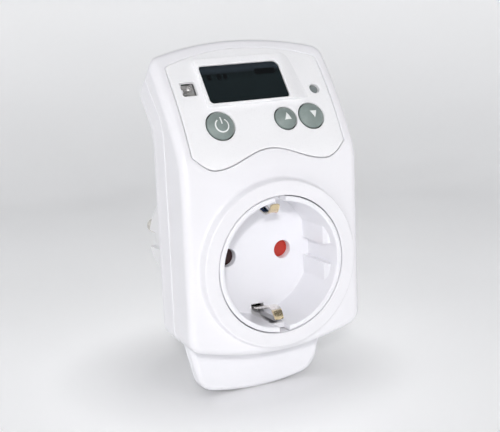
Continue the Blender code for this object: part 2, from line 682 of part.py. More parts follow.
def make_chin():
    shell_low = arched_outline(halfWidth + 5 * mm, -lowestZ + gap, arcRadius, 1 * mm, 130 * mm)
    clear = [(x, -z) for x, z in shell_low]
    front = prism(chin_outline(), front_frame(), chinFrontY, chinSeamY + 3 * mm)
    rounded(front, 1.8 * mm, 2, 60.0)
    keep(front, box(-40 * mm, 40 * mm, -60 * mm, chinSeamY - gap, -60 * mm, 0))
    cut(front, prism(clear, front_frame(), -60 * mm, 0))
    cut(front, box(-17 * mm, 17 * mm, chinFrontY + 1.8 * mm, -30 * mm, -41.6 * mm, -30.5 * mm))
    finish(front, "chin_front", "white_shell")
    rear = prism(chin_outline(), front_frame(), chinSeamY - 3 * mm, chinRearY)
    rounded(rear, 2.6 * mm, 2, 60.0)
    keep(rear, box(-40 * mm, 40 * mm, chinSeamY, 0, -60 * mm, 0))
    plan = [(-30 * mm, -45 * mm), (30 * mm, -45 * mm), (17.5 * mm, -20 * mm), (-17.5 * mm, -20 * mm)]
    keep(rear, prism(plan, floor_frame(), -60 * mm, 0))
    under = prism(clear, front_frame(), -60 * mm, rearY + gap)
    cut(rear, under)
    cut(rear, box(-40 * mm, 40 * mm, -60 * mm, 0, -22.4 * mm, 0))
    cut(rear, box(-14 * mm, 14 * mm, chinSeamY - 1 * mm, -28.5 * mm, -41.3 * mm, -30.5 * mm))
    finish(rear, "chin_back", "white_shell")
    board = box(-12 * mm, 12 * mm, -35.6 * mm, -34.4 * mm, -40.0 * mm, -31.5 * mm)
    finish(board, "probe_board", "board_green")
    bead = [(0, 0), (1.1 * mm, 0.5 * mm), (1.4 * mm, 1.4 * mm), (1.0 * mm, 2.3 * mm), (0, 2.6 * mm)]
    finish(turned(bead, front_frame(4 * mm, -38.5 * mm, -35.5 * mm), 12), "probe_sensor", "black_plastic")


def build():
    for old in list(bpy.data.objects):
        bpy.data.objects.remove(old)
    make_front_shell()
    make_middle_shell()
    make_back_cover()
    make_screws()
    make_fascia()
    make_display()
    make_buttons()
    make_display_board()
    make_socket_insert()
    make_earth()
    make_contacts()
    make_shutter()
    make_plug()
    make_main_board()
    make_chin()


build()
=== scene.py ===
import bmesh
import bpy
import math
from mathutils import Matrix, Vector


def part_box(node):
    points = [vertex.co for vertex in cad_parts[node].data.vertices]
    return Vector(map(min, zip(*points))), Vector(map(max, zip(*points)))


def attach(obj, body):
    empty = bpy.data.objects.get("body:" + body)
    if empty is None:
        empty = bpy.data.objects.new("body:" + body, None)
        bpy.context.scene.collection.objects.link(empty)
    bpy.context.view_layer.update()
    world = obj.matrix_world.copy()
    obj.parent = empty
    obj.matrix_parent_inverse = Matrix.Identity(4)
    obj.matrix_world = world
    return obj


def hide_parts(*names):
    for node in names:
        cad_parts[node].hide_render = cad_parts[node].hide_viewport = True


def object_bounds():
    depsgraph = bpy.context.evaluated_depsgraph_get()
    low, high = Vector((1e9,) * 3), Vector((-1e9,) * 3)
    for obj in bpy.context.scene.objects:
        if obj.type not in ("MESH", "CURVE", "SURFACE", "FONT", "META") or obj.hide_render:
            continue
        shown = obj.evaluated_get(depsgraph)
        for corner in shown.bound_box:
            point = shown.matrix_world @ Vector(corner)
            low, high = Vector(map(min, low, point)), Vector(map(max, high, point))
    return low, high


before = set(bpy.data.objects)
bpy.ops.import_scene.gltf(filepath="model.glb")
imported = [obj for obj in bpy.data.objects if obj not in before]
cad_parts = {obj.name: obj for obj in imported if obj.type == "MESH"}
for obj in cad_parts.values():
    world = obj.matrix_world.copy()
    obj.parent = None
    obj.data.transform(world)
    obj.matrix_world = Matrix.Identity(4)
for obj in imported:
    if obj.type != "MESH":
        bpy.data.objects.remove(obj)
cadLow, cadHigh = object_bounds()
mm = 0.001

# Metres, +Z up, the front looks along -Y, the origin is the centre of the plug's end face.

# ---- places taken from the frame

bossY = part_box("front_shell")[0].y              # front rim of the socket
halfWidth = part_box("front_shell")[1].x
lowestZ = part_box("front_shell")[0].z
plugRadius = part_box("plug_body")[1].x
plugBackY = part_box("plug_body")[0].y
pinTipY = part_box("pin_right")[1].y
contactX = (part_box("pin_right")[0].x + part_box("pin_right")[1].x) / 2
pinRadius = (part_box("pin_right")[1].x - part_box("pin_right")[0].x) / 2
footZ = cadLow.z

caseShape = {
    "rimHeight": 3.4 * mm,                       # socket rim in front of the face
    "face": {"depth": 0.0, "bend": 27.5 * mm, "arcs": [(16.0 * mm, 26.0), (112.0 * mm, 41.0)]},
    "seam": {"depth": 12.0 * mm, "bend": 37.0 * mm, "arcs": [(13.5 * mm, 42.0)]},
    "cover": {"depth": 18.3 * mm, "bend": 36.0 * mm, "arcs": [(13.0 * mm, 41.0)]},
    "rear": {"depth": 21.6 * mm, "bend": 35.0 * mm, "arcs": [(12.5 * mm, 41.0)]},
    "archRadius": 86.0 * mm,
    "topRise": 9.18 * mm,                        # crown above the end of the front curve
    "frontCorner": 4.4 * mm,
    "rearCorner": 7.0 * mm,
    "wall": 2.0 * mm,
    "frontWall": 2.4 * mm,
    "frontEdge": 2.5 * mm,
    "rearEdge": 2.0 * mm,
    "seamGap": 0.26 * mm,
    "seamEdge": 0.22 * mm,
    "coverEdge": 0.08 * mm,                      # the rear joint is closer and sharper
    "coverGap": 0.12 * mm,
    "tongue": 1.4 * mm,
    "trueDepth": 3.0 * mm,                       # square to the face down to here
    "turnFrom": 24.0 * mm,
}
faceY = bossY + caseShape["rimHeight"]
rearY = faceY + caseShape["rear"]["depth"]


# ---- outlines

def arcPoints(cx, cy, radius, start, end, steps):
    angles = [math.radians(start + (end - start) * i / steps) for i in range(steps + 1)]
    return [(cx + radius * math.cos(a), cy + radius * math.sin(a)) for a in angles]


def circle(radius, steps, cx=0.0, cy=0.0):
    return arcPoints(cx, cy, radius, 0.0, 360.0, steps)[:-1]


def archTop(half, crown, radius, corner, topSteps=56, cornerSteps=12):
    inner = half - corner
    reach = radius - corner
    lift = math.sqrt(reach * reach - inner * inner)
    centre = crown - radius
    turn = math.degrees(math.atan2(inner, lift))
    right = arcPoints(inner, centre + lift, corner, 0.0, 90.0 - turn, cornerSteps)
    left = arcPoints(-inner, centre + lift, corner, 90.0 + turn, 180.0, cornerSteps)
    top = arcPoints(0.0, centre, radius, 90.0 - turn, 90.0 + turn, topSteps)[1:-1]
    return right + top + left


def between(first, last, steps):             # the points between two ends, without them
    return [(first[0] + (last[0] - first[0]) * i / steps, first[1] + (last[1] - first[1]) * i / steps)
            for i in range(1, steps)]


def grown(points, distance):                 # a loop pushed outwards, or inwards below zero
    result = []
    count = len(points)
    for i, (x, z) in enumerate(points):
        ax, az = points[i - 1]
        bx, bz = points[(i + 1) % count]
        first = Vector((x - ax, z - az)).normalized()
        second = Vector((bx - x, bz - z)).normalized()
        middle = (first + second).normalized()
        out = Vector((middle.y, -middle.x))
        size = distance / max(0.35, out.dot(Vector((first.y, -first.x))))
        result.append((x + out.x * size, z + out.y * size))
    return result


def roundedPolygon(corners, radii, steps=8):
    points = []
    count = len(corners)
    for i in range(count):
        here = Vector(corners[i])
        first = (Vector(corners[i - 1]) - here).normalized()
        second = (Vector(corners[(i + 1) % count]) - here).normalized()
        half = first.angle(second) / 2
        reach = radii[i] / math.tan(half)
        start = here + first * reach
        end = here + second * reach
        centre = here + (first + second).normalized() * (radii[i] / math.sin(half))
        for k in range(steps + 1):
            t = k / steps
            a = (start - centre)
            b = (end - centre)
            whole = a.angle(b)
            mixed = (a * math.sin((1 - t) * whole) + b * math.sin(t * whole)) / math.sin(whole)
            points.append(tuple(centre + mixed))
    return points


def edgeRound(radius, depth=0.0, steps=6):    # (inset, depth) down a quarter-round edge
    path = []
    for i in range(steps + 1):
        a = math.radians(90.0 * i / steps)
        path.append((radius * (1 - math.sin(a)), depth + radius * (1 - math.cos(a))))
    return path


# ---- the bent front: (across, up along the face, depth) to the world

def sideAt(line, z):                          # depth of a side-view line at height z
    y = faceY + line["depth"]
    low = line["bend"]
    angle = 0.0
    if z <= low:
        return y
    for radius, end in line["arcs"]:
        start = math.sin(math.radians(angle))
        top = low + radius * (math.sin(math.radians(end)) - start)
        here = min(z, top)
        now = math.asin(start + (here - low) / radius)
        y += radius * (math.cos(math.radians(angle)) - math.cos(now))
        low = top
        angle = end
        if z <= top:
            return y
    return y + (z - low) * math.tan(math.radians(angle))


def faceAt(s):                                # place and lean of the face after length s
    y, z, angle, left = faceY, 0.0, 0.0, s
    straight = min(left, caseShape["face"]["bend"])
    z += straight
    left -= straight
    for radius, end in caseShape["face"]["arcs"]:
        turn = min(max(left, 0.0) / radius, math.radians(end) - angle)
        y += radius * (math.cos(angle) - math.cos(angle + turn))
        z += radius * (math.sin(angle + turn) - math.sin(angle))
        angle += turn
        left -= radius * turn
    if left > 0:
        y += left * math.sin(angle)
        z += left * math.cos(angle)
    return y, z, angle


def upFace(z):                                # length along the face up to height z
    low, high = z, z + 30 * mm
    for _ in range(40):
        middle = (low + high) / 2
        if faceAt(middle)[1] < z:
            low = middle
        else:
            high = middle
    return (low + high) / 2


endTurn = math.radians(caseShape["face"]["arcs"][-1][1])
faceEnd = caseShape["face"]["bend"]
lastTurn = 0.0
for radius, end in caseShape["face"]["arcs"]:
    faceEnd += radius * (math.radians(end) - lastTurn)
    lastTurn = math.radians(end)


def rayKnots(s):
    y, z, angle = faceAt(s)
    t = min(max((s - caseShape["turnFrom"]) / (faceEnd - caseShape["turnFrom"]), 0.0), 1.0)
    lean = endTurn * t * t * (3 - 2 * t)
    deep = caseShape["trueDepth"]
    knots = [(0.0, y, z), (deep, y + deep * math.cos(angle), z - deep * math.sin(angle))]
    for key in ("seam", "cover", "rear"):
        low, high = 0.0, 45 * mm
        for _ in range(36):
            middle = (low + high) / 2
            if y + middle * math.cos(lean) < sideAt(caseShape[key], z - middle * math.sin(lean)):
                low = middle
            else:
                high = middle
        knots.append((caseShape[key]["depth"], y + low * math.cos(lean), z - low * math.sin(lean)))
    return knots


knotStep = 0.5 * mm
knotTable = [rayKnots(caseShape["turnFrom"] + i * knotStep) for i in range(112)]


def knotsAt(s):
    place = (s - caseShape["turnFrom"]) / knotStep
    i = min(max(int(place), 0), len(knotTable) - 2)
    t = place - i
    first, second = knotTable[i], knotTable[i + 1]
    return [(a[0], a[1] + (b[1] - a[1]) * t, a[2] + (b[2] - a[2]) * t) for a, b in zip(first, second)]


def bent(x, s, depth):                        # flat piece coordinates to the bent case
    if s <= caseShape["turnFrom"]:
        return Vector((x, faceY + depth, s))
    if depth <= caseShape["trueDepth"]:
        y, z, angle = faceAt(s)
        return Vector((x, y + depth * math.cos(angle), z - depth * math.sin(angle)))
    knots = knotsAt(s)
    for (d0, y0, z0), (d1, y1, z1) in zip(knots[1:], knots[2:]):
        if depth <= d1 or d1 == knots[-1][0]:
            t = (depth - d0) / (d1 - d0)
            return Vector((x, y0 + (y1 - y0) * t, z0 + (z1 - z0) * t))


# ---- frames for parts that sit on the front

def frameFrom(origin, across, up, inwards):
    rows = [(across[i], up[i], inwards[i], origin[i]) for i in range(3)]
    return Matrix([*rows, (0.0, 0.0, 0.0, 1.0)])


def frontFrame(x=0.0, y=0.0, z=0.0):
    return frameFrom((x, y, z), (1, 0, 0), (0, 0, 1), (0, 1, 0))


def tiltedFrame(x, y, z, a):
    return frameFrom((x, y, z), (1, 0, 0), (0, math.sin(a), math.cos(a)), (0, math.cos(a), -math.sin(a)))


def faceFrame(x, z):
    y, height, angle = faceAt(upFace(z))
    return tiltedFrame(x, y, height, angle)


# ---- making meshes

def toObject(bm, name="piece"):
    bmesh.ops.recalc_face_normals(bm, faces=bm.faces)
    mesh = bpy.data.meshes.new(name)
    bm.to_mesh(mesh)
    bm.free()
    body = bpy.data.objects.new(name, mesh)
    bpy.context.scene.collection.objects.link(body)
    return body


def loft(rings, closed=False):
    bm = bmesh.new()
    rows = [[bm.verts.new(p) for p in ring] for ring in rings]
    count = len(rows[0])
    pairs = list(zip(rows, rows[1:]))
    if closed:
        pairs.append((rows[-1], rows[0]))
    for first, second in pairs:
        for i in range(count):
            j = (i + 1) % count
            bm.faces.new((first[i], first[j], second[j], second[i]))
    if not closed:
        bm.faces.new(rows[0][::-1])
        bm.faces.new(rows[-1])
    return toObject(bm)


def prism(points, place, low, high):
    return loft([[place @ Vector((x, y, depth)) for x, y in points] for depth in (low, high)])


def block(place, width, height, low, high, shift=(0.0, 0.0)):
    w, h = width / 2, height / 2
    points = [(-w, -h), (w, -h), (w, h), (-w, h)]
    return prism([(x + shift[0], y + shift[1]) for x, y in points], place, low, high)


def turned(profile, place, segments=96):
    bm = bmesh.new()
    rows = []
    for radius, depth in profile:
        points = circle(radius, segments) if radius > 0 else [(0.0, 0.0)]
        rows.append([bm.verts.new(place @ Vector((x, y, depth))) for x, y in points])
    for first, second in zip(rows, rows[1:]):
        for i in range(segments):
            j = (i + 1) % segments
            corners = [first[i % len(first)], first[j % len(first)]]
            corners += [second[j % len(second)], second[i % len(second)]]
            bm.faces.new(list(dict.fromkeys(corners)))
    for row, other in ((rows[0], 1), (rows[-1], -1)):
        if len(row) > 1:
            bm.faces.new(row[::-other])
    return toObject(bm)


def combine(body, operation, tools):
    for tool in tools:
        step = body.modifiers.new("step", "BOOLEAN")
        step.operation = operation
        step.object = tool
        bpy.context.view_layer.objects.active = body
        bpy.ops.object.modifier_apply(modifier=step.name)
        bpy.data.objects.remove(tool)
    return body


def cut(body, *tools):
    return combine(body, "DIFFERENCE", tools)


def join(body, *tools):
    return combine(body, "UNION", tools)


def sliced(body, low, high, step, axis=2):
    bm = bmesh.new()
    bm.from_mesh(body.data)
    normal = Vector((0, 0, 0))
    normal[axis] = 1.0
    count = int((high - low) / step)
    for i in range(count + 1):
        place = normal * (low + i * step)
        everything = [*bm.verts, *bm.edges, *bm.faces]
        bmesh.ops.bisect_plane(bm, geom=everything, plane_co=place, plane_no=normal, dist=1e-7)
    bm.to_mesh(body.data)
    bm.free()
    return body


def bend(body, across=0.0):
    sliced(body, caseShape["turnFrom"], faceEnd + 1 * mm, 1.0 * mm)
    if across:
        sliced(body, -across * 7, across * 7, across, 0)
    bm = bmesh.new()
    bm.from_mesh(body.data)
    bmesh.ops.triangulate(bm, faces=[f for f in bm.faces if len(f.verts) > 4])
    bm.to_mesh(body.data)
    bm.free()
    for vertex in body.data.vertices:
        vertex.co = bent(vertex.co.x, vertex.co.z, vertex.co.y)
    return body


def weld(body, distance=0.002 * mm):
    bm = bmesh.new()
    bm.from_mesh(body.data)
    bmesh.ops.remove_doubles(bm, verts=bm.verts, dist=distance)
    loose = [e for e in bm.edges if not e.link_faces]
    bmesh.ops.delete(bm, geom=loose, context="EDGES")
    bmesh.ops.recalc_face_normals(bm, faces=bm.faces)
    bm.to_mesh(body.data)
    bm.free()
    return body


def place(body, name, paint, rides, slot, stands=(), angle=32.0):
    weld(body)
    body.name = name
    body.data.name = name
    body.data.shade_smooth()
    body.data.set_sharp_from_angle(angle=math.radians(angle))
    even = body.modifiers.new("even", "WEIGHTED_NORMAL")
    even.keep_sharp = True
    body.data.materials.clear()
    body.data.materials.append(paint)
    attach(body, rides)
    if stands:
        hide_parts(*stands)
    return body


# ---- finishes

def newPaint(name):
    paint = bpy.data.materials.new(name)
    paint.use_nodes = True
    tree = paint.node_tree
    where = tree.nodes.new("ShaderNodeTexCoord").outputs["Object"]
    return paint, tree, tree.nodes["Principled BSDF"], where


def grain(tree, where, scale, detail=3.0, rough=0.5):
    noise = tree.nodes.new("ShaderNodeTexNoise")
    noise.inputs["Scale"].default_value = scale
    noise.inputs["Detail"].default_value = detail
    noise.inputs["Roughness"].default_value = rough
    tree.links.new(where, noise.inputs["Vector"])
    return noise.outputs["Fac"]


def spread(tree, value, low, high, fromLow=0.3, fromHigh=0.7):
    step = tree.nodes.new("ShaderNodeMapRange")
    step.inputs["From Min"].default_value = fromLow
    step.inputs["From Max"].default_value = fromHigh
    step.inputs["To Min"].default_value = low
    step.inputs["To Max"].default_value = high
    tree.links.new(value, step.inputs["Value"])
    return step.outputs["Result"]


def tints(tree, value, stops):
    ramp = tree.nodes.new("ShaderNodeValToRGB")
    ramp.color_ramp.elements[0].position = stops[0][0]
    ramp.color_ramp.elements[0].color = (*stops[0][1], 1.0)
    ramp.color_ramp.elements[1].position = stops[-1][0]
    ramp.color_ramp.elements[1].color = (*stops[-1][1], 1.0)
    for position, colour in stops[1:-1]:
        ramp.color_ramp.elements.new(position).color = (*colour, 1.0)
    tree.links.new(value, ramp.inputs["Fac"])
    return ramp.outputs["Color"]


def blended(tree, first, second, amount, kind="MULTIPLY"):
    mix = tree.nodes.new("ShaderNodeMix")
    mix.data_type = "RGBA"
    mix.blend_type = kind
    mix.inputs["Factor"].default_value = amount
    tree.links.new(first, mix.inputs["A"])
    tree.links.new(second, mix.inputs["B"])
    return mix.outputs["Result"]


def relief(tree, shader, layers):
    normal = None
    for value, strength, height in layers:
        bump = tree.nodes.new("ShaderNodeBump")
        bump.inputs["Strength"].default_value = strength
        bump.inputs["Distance"].default_value = height
        tree.links.new(value, bump.inputs["Height"])
        if normal:
            tree.links.new(normal, bump.inputs["Normal"])
        normal = bump.outputs["Normal"]
    tree.links.new(normal, shader.inputs["Normal"])


def stretched(tree, where, scale):
    mapping = tree.nodes.new("ShaderNodeMapping")
    mapping.inputs["Scale"].default_value = scale
    tree.links.new(where, mapping.inputs["Vector"])
    return mapping.outputs["Vector"]


def shade(colour, amount):
    return tuple(min(1.0, c * amount) for c in colour)


def mouldedPlastic(name, colour, rough=0.36, texture=0.12, tone=0.012, level=0.5):
    paint, tree, shader, where = newPaint(name)
    cloud = grain(tree, where, 70.0, 4.0)
    fleck = grain(tree, where, 1500.0, 2.0)
    dark, pale = shade(colour, 1 - tone), shade(colour, 1 + tone / 3)
    base = tints(tree, cloud, [(0.3, dark), (0.55, colour), (0.75, pale)])
    spots = tints(tree, fleck, [(0.25, (0.985, 0.985, 0.985)), (0.5, (1.0, 1.0, 1.0))])
    tree.links.new(blended(tree, base, spots, 0.6), shader.inputs["Base Color"])
    polish = spread(tree, grain(tree, where, 2600.0), rough - 0.01, rough + 0.015)
    tree.links.new(polish, shader.inputs["Roughness"])
    fine = grain(tree, where, 5200.0, 2.0)
    wave = grain(tree, where, 160.0, 1.0)
    relief(tree, shader, [(wave, 0.2, 0.012 * mm), (fine, texture, 0.006 * mm)])
    shader.inputs["Specular IOR Level"].default_value = level
    return paint


def satinRubber(name, colour, rough=0.46):
    paint, tree, shader, where = newPaint(name)
    cloud = grain(tree, where, 260.0, 5.0)
    dust = grain(tree, where, 2600.0, 3.0)
    base = tints(tree, cloud, [(0.3, shade(colour, 0.9)), (0.5, colour), (0.72, shade(colour, 1.1))])
    specks = tints(tree, dust, [(0.3, (0.9, 0.9, 0.9)), (0.6, (1.0, 1.0, 1.0)), (0.72, (1.0, 1.0, 1.0))])
    tree.links.new(blended(tree, base, specks, 0.7), shader.inputs["Base Color"])
    tree.links.new(spread(tree, dust, rough - 0.08, rough + 0.1), shader.inputs["Roughness"])
    relief(tree, shader, [(cloud, 0.2, 0.03 * mm), (grain(tree, where, 6000.0, 2.0), 0.3, 0.03 * mm)])
    shader.inputs["Sheen Weight"].default_value = 0.12
    shader.inputs["Sheen Roughness"].default_value = 0.4
    return paint


def pressedMetal(name, colour, rough=0.26, along=(1.0, 1.0, 14.0), wear=0.18):
    paint, tree, shader, where = newPaint(name)
    brushed = grain(tree, stretched(tree, where, along), 1400.0, 3.0, 0.5)
    tarnish = grain(tree, where, 340.0, 5.0, 0.6)
    dull, bright = shade(colour, 1 - wear), shade(colour, 1.06)
    base = tints(tree, tarnish, [(0.28, dull), (0.52, colour), (0.75, bright)])
    streaks = tints(tree, brushed, [(0.3, (0.94, 0.94, 0.94)), (0.6, (1.0, 1.0, 1.0))])
    tree.links.new(blended(tree, base, streaks, 0.7), shader.inputs["Base Color"])
    tree.links.new(spread(tree, brushed, rough - 0.06, rough + 0.12), shader.inputs["Roughness"])
    relief(tree, shader, [(brushed, 0.1, 0.006 * mm), (tarnish, 0.1, 0.012 * mm)])
    shader.inputs["Metallic"].default_value = 1.0
    shader.inputs["Anisotropic"].default_value = 0.3
    return paint


# colours one end of a piece by a ramp along an object axis: the golden tips of the earth clips, and painted
# shade on the shutter's left end
def endTintAndPaintedShade(paint, axis, low, high, colours):
    tree = paint.node_tree
    shader = tree.nodes["Principled BSDF"]
    base = shader.inputs["Base Color"].links[0].from_socket
    split = tree.nodes.new("ShaderNodeSeparateXYZ")
    tree.links.new(tree.nodes["Texture Coordinate"].outputs["Object"], split.inputs["Vector"])
    along = spread(tree, split.outputs[axis], 0.0, 1.0, low, high)
    tree.links.new(blended(tree, base, tints(tree, along, colours), 1.0), shader.inputs["Base Color"])


def circuitBoard(name, colour):
    paint, tree, shader, where = newPaint(name)
    cells = tree.nodes.new("ShaderNodeTexVoronoi")
    cells.distance = "MANHATTAN"
    cells.feature = "F2"
    cells.inputs["Scale"].default_value = 420.0
    tree.links.new(where, cells.inputs["Vector"])
    between, copper, bare = shade(colour, 0.75), shade(colour, 1.35), shade(colour, 0.8)
    tracks = tints(tree, cells.outputs["Distance"], [(0.42, between), (0.5, copper), (0.6, bare)])
    weave = grain(tree, where, 1800.0, 3.0)
    dim = tints(tree, weave, [(0.3, (0.85, 0.85, 0.85)), (0.6, (1.0, 1.0, 1.0))])
    tree.links.new(blended(tree, tracks, dim, 0.8), shader.inputs["Base Color"])
    tree.links.new(spread(tree, weave, 0.3, 0.48), shader.inputs["Roughness"])
    relief(tree, shader, [(cells.outputs["Distance"], 0.3, 0.04 * mm), (weave, 0.2, 0.02 * mm)])
    shader.inputs["Coat Weight"].default_value = 0.3
    return paint


def displayGlass(name, colour, paintedReflectionBand, low, high):
    paint, tree, shader, where = newPaint(name)
    split = tree.nodes.new("ShaderNodeSeparateXYZ")
    tree.links.new(where, split.inputs["Vector"])
    rise = spread(tree, split.outputs["Z"], 0.0, 1.0, low, high)
    # a painted reflection: the colour lightens up the window into a bright band near its top edge, with a
    # darker stop just below the band
    paintedReflectionRamp = tints(tree, rise, [(0.0, colour), (0.62, shade(colour, 1.1)), (0.79, shade(colour, 0.8)),
                              (0.83, shade(paintedReflectionBand, 0.7)), (0.9, paintedReflectionBand), (1.0, shade(paintedReflectionBand, 0.75))])
    haze = tints(tree, grain(tree, where, 120.0, 5.0), [(0.3, (0.88, 0.88, 0.88)), (0.65, (1.0, 1.0, 1.0))])
    tree.links.new(blended(tree, paintedReflectionRamp, haze, 0.8), shader.inputs["Base Color"])
    smear = grain(tree, stretched(tree, where, (3.0, 1.0, 1.0)), 160.0, 6.0, 0.6)
    tree.links.new(spread(tree, smear, 0.1, 0.2), shader.inputs["Roughness"])
    relief(tree, shader, [(grain(tree, where, 60.0, 1.0), 0.08, 0.02 * mm)])
    shader.inputs["Specular IOR Level"].default_value = 0.25
    shader.inputs["Coat Weight"].default_value = 0.08
    shader.inputs["Coat Roughness"].default_value = 0.06
    return paint


white = (0.90, 0.895, 0.925)
whitePaint = mouldedPlastic("white_abs", white, 0.34, 0.10)
panelPaint = mouldedPlastic("panel_abs", (0.945, 0.945, 0.96), 0.28, 0.08)
chinPaint = mouldedPlastic("chin_abs", (0.895, 0.895, 0.925), 0.32, 0.10)
# the insert's white is set a little lighter than the case white so the shaded recess comes out brighter:
# painted light
insertPaint = mouldedPlastic("insert_abs", (0.92, 0.92, 0.955), 0.30, 0.08)
plugPaint = mouldedPlastic("plug_abs", (0.88, 0.88, 0.89), 0.38, 0.14)
buttonPaint = satinRubber("button_rubber", (0.24, 0.29, 0.275))
resetPaint = satinRubber("reset_rubber", (0.22, 0.25, 0.25), 0.5)
signPaint = mouldedPlastic("sign_print", (0.86, 0.88, 0.87), 0.5, 0.2)
windowLow, windowHigh = (corner.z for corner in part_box("lcd_window"))
# the second colour is the painted reflection band along the top of the window
glassPaint = displayGlass("display_window", (0.0085, 0.0145, 0.0165), (0.024, 0.033, 0.042),
                          windowLow, windowHigh)
markPaint = mouldedPlastic("display_marks", (0.0025, 0.0035, 0.0045), 0.34, 0.05, 0.1, 0.2)
nickelPaint = pressedMetal("nickel_plate", (0.74, 0.71, 0.66), 0.24)
clipPaint = pressedMetal("clip_plate", (0.86, 0.83, 0.79), 0.2, (1.0, 1.0, 4.0), 0.1)
endTintAndPaintedShade(clipPaint, "Y", -55 * mm, -52 * mm, [(0.0, (1.0, 0.86, 0.58)), (0.55, (1.0, 0.86, 0.60)),
                                              (0.75, (1.0, 1.0, 1.0)), (1.0, (1.0, 1.0, 1.0))])
steelPaint = pressedMetal("zinc_steel", (0.62, 0.62, 0.64), 0.32, (1.0, 1.0, 1.0))
brassPaint = pressedMetal("brass_strip", (0.80, 0.60, 0.28), 0.28)
copperPaint = pressedMetal("copper_wire", (0.80, 0.42, 0.26), 0.3)
redPaint = mouldedPlastic("shutter_red", (0.62, 0.05, 0.025), 0.36, 0.15, tone=0.12)
# the left end of the red shutter is darkened to near black as painted shade in the left pin hole; the right
# end keeps a slightly deeper red
endTintAndPaintedShade(redPaint, "X", -12 * mm, 12 * mm, [(0.0, (0.06, 0.10, 0.22)), (0.4, (0.07, 0.11, 0.24)),
                                            (0.6, (0.86, 0.7, 0.8)), (1.0, (0.86, 0.7, 0.8))])
blackPaint = mouldedPlastic("black_pbt", (0.03, 0.03, 0.034), 0.45, 0.2, tone=0.2)
greyPaint = mouldedPlastic("grey_pbt", (0.28, 0.29, 0.30), 0.5, 0.2, tone=0.1)
# the cell gets the same painted reflection band near its top
cellPaint = displayGlass("display_cell", (0.10, 0.13, 0.11), (0.12, 0.15, 0.13), windowLow, windowHigh)
bluePaint = mouldedPlastic("blue_epoxy", (0.05, 0.16, 0.48), 0.32, 0.1, tone=0.12)
yellowPaint = mouldedPlastic("yellow_film", (0.80, 0.62, 0.10), 0.34, 0.1, tone=0.1)
brownPaint = mouldedPlastic("brown_ceramic", (0.26, 0.12, 0.05), 0.4, 0.2, tone=0.15)
boardPaint = circuitBoard("board_mask", (0.03, 0.20, 0.09))
canPaint = pressedMetal("sensor_plate", (0.62, 0.61, 0.60), 0.42, (1.0, 1.0, 1.0), 0.5)
eyePaint = pressedMetal("sensor_can", (0.55, 0.54, 0.56), 0.3, (1.0, 1.0, 1.0), 0.3)

insidePaint = {
    "lcd_cell": cellPaint, "lcd_holder": greyPaint, "power_switch": blackPaint,
    "up_switch": blackPaint, "down_switch": blackPaint, "reset_switch": blackPaint,
    "display_board": boardPaint, "main_board": boardPaint, "probe_board": boardPaint,
    "board_screw_left": steelPaint, "board_screw_right": steelPaint, "relay": bluePaint,
    "film_capacitor": yellowPaint, "electrolytic_capacitor": blackPaint, "fuse": brownPaint,
    "varistor": bluePaint, "metering_chip": blackPaint, "controller_chip": blackPaint,
    "shunt": copperPaint, "backup_cell": steelPaint, "board_link": blackPaint,
    "contact_carrier": blackPaint, "contact_left": brassPaint, "contact_right": brassPaint,
    "earth_bridge": brassPaint, "shutter_spring": steelPaint, "probe_sensor": blackPaint,
    "sensor_element": eyePaint,
}
for name, paint in insidePaint.items():
    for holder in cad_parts[name].material_slots:
        holder.material = paint
print("finishes ready")


# ---- case shells

flat = frontFrame()


def caseLoop(inset, depth):
    t = depth / caseShape["rear"]["depth"]
    corner = caseShape["frontCorner"] + (caseShape["rearCorner"] - caseShape["frontCorner"]) * max(t, 0.0)
    radius = caseShape["archRadius"] - inset
    corner = max(corner - inset, 0.8 * mm)
    top = archTop(halfWidth - inset, faceEnd + caseShape["topRise"] - inset, radius, corner)
    low = [(-x, -z) for x, z in archTop(halfWidth - inset, -lowestZ - inset, radius, corner)]
    steps = 44
    return top + between(top[-1], low[0], steps) + low + between(low[-1], top[0], steps)


def caseRings(path):
    return [[flat @ Vector((x, s, depth)) for x, s in caseLoop(inset, depth)] for inset, depth in path]


def lipCutter(radius, lip, where, front, back, segments=64):    # bores a hole with a rounded mouth
    profile = [(0.0, front - 6 * mm), (radius + lip, front - 6 * mm)]
    profile += [(radius + inset, front + depth) for inset, depth in edgeRound(lip, steps=5)]
    return turned(profile + [(radius, back), (0.0, back)], where, segments)


def outlineCutter(points, lip, where, front, back):
    path = [(lip, front - 6 * mm)] + [(inset, front + depth) for inset, depth in edgeRound(lip, steps=4)]
    path.append((0.0, back))
    return loft([[where @ Vector((x, z, depth)) for x, z in grown(points, inset)] for inset, depth in path])


panelShape = {
    "half": 25.2 * mm,
    "crown": 62.7 * mm,
    "archRadius": 84.0 * mm,
    "corner": 1.2 * mm,
    "sideFoot": 34.2 * mm,
    "lobeX": 18.2 * mm,
    "lobeZ": 29.9 * mm,
    "wave": 2.3 * mm,
    "thickness": 1.2 * mm,
    "gap": 0.25 * mm,
    "topGap": 0.07 * mm,
    "topFrom": 57.0 * mm,
    "edge": 0.3 * mm,
    "lip": 0.35 * mm,
}


def panelLoop():
    half, foot, lobe = panelShape["half"], panelShape["sideFoot"], panelShape["lobeX"]
    top = archTop(half, panelShape["crown"], panelShape["archRadius"], panelShape["corner"], 44, 6)
    low = []
    for i in range(12):
        t = i / 12
        fall = (foot - panelShape["lobeZ"]) * math.sin(t * math.pi / 2)
        low.append((-half + t * (half - lobe), foot - fall))
    waves = 60
    for i in range(waves + 1):
        x = -lobe + 2 * lobe * i / waves
        low.append((x, panelShape["lobeZ"] + panelShape["wave"] * (1 + math.cos(math.pi * x / lobe))))
    low += [(-x, z) for x, z in reversed(low[:12])]
    steps = 20
    points = top + between(top[-1], low[0], steps) + low + between(low[-1], top[0], steps)
    return [(x, upFace(z)) for x, z in points]


panelPoints = panelLoop()
rimShape = {
    "radius": 20.85 * mm,
    "lip": 0.3 * mm,
    "outer": 24.7 * mm,
    "edge": 0.6 * mm,
    "wall": 25.5 * mm,
    "base": 26.3 * mm,
    "sweep": 80,                                 # degrees turned at the edge and at the foot
}


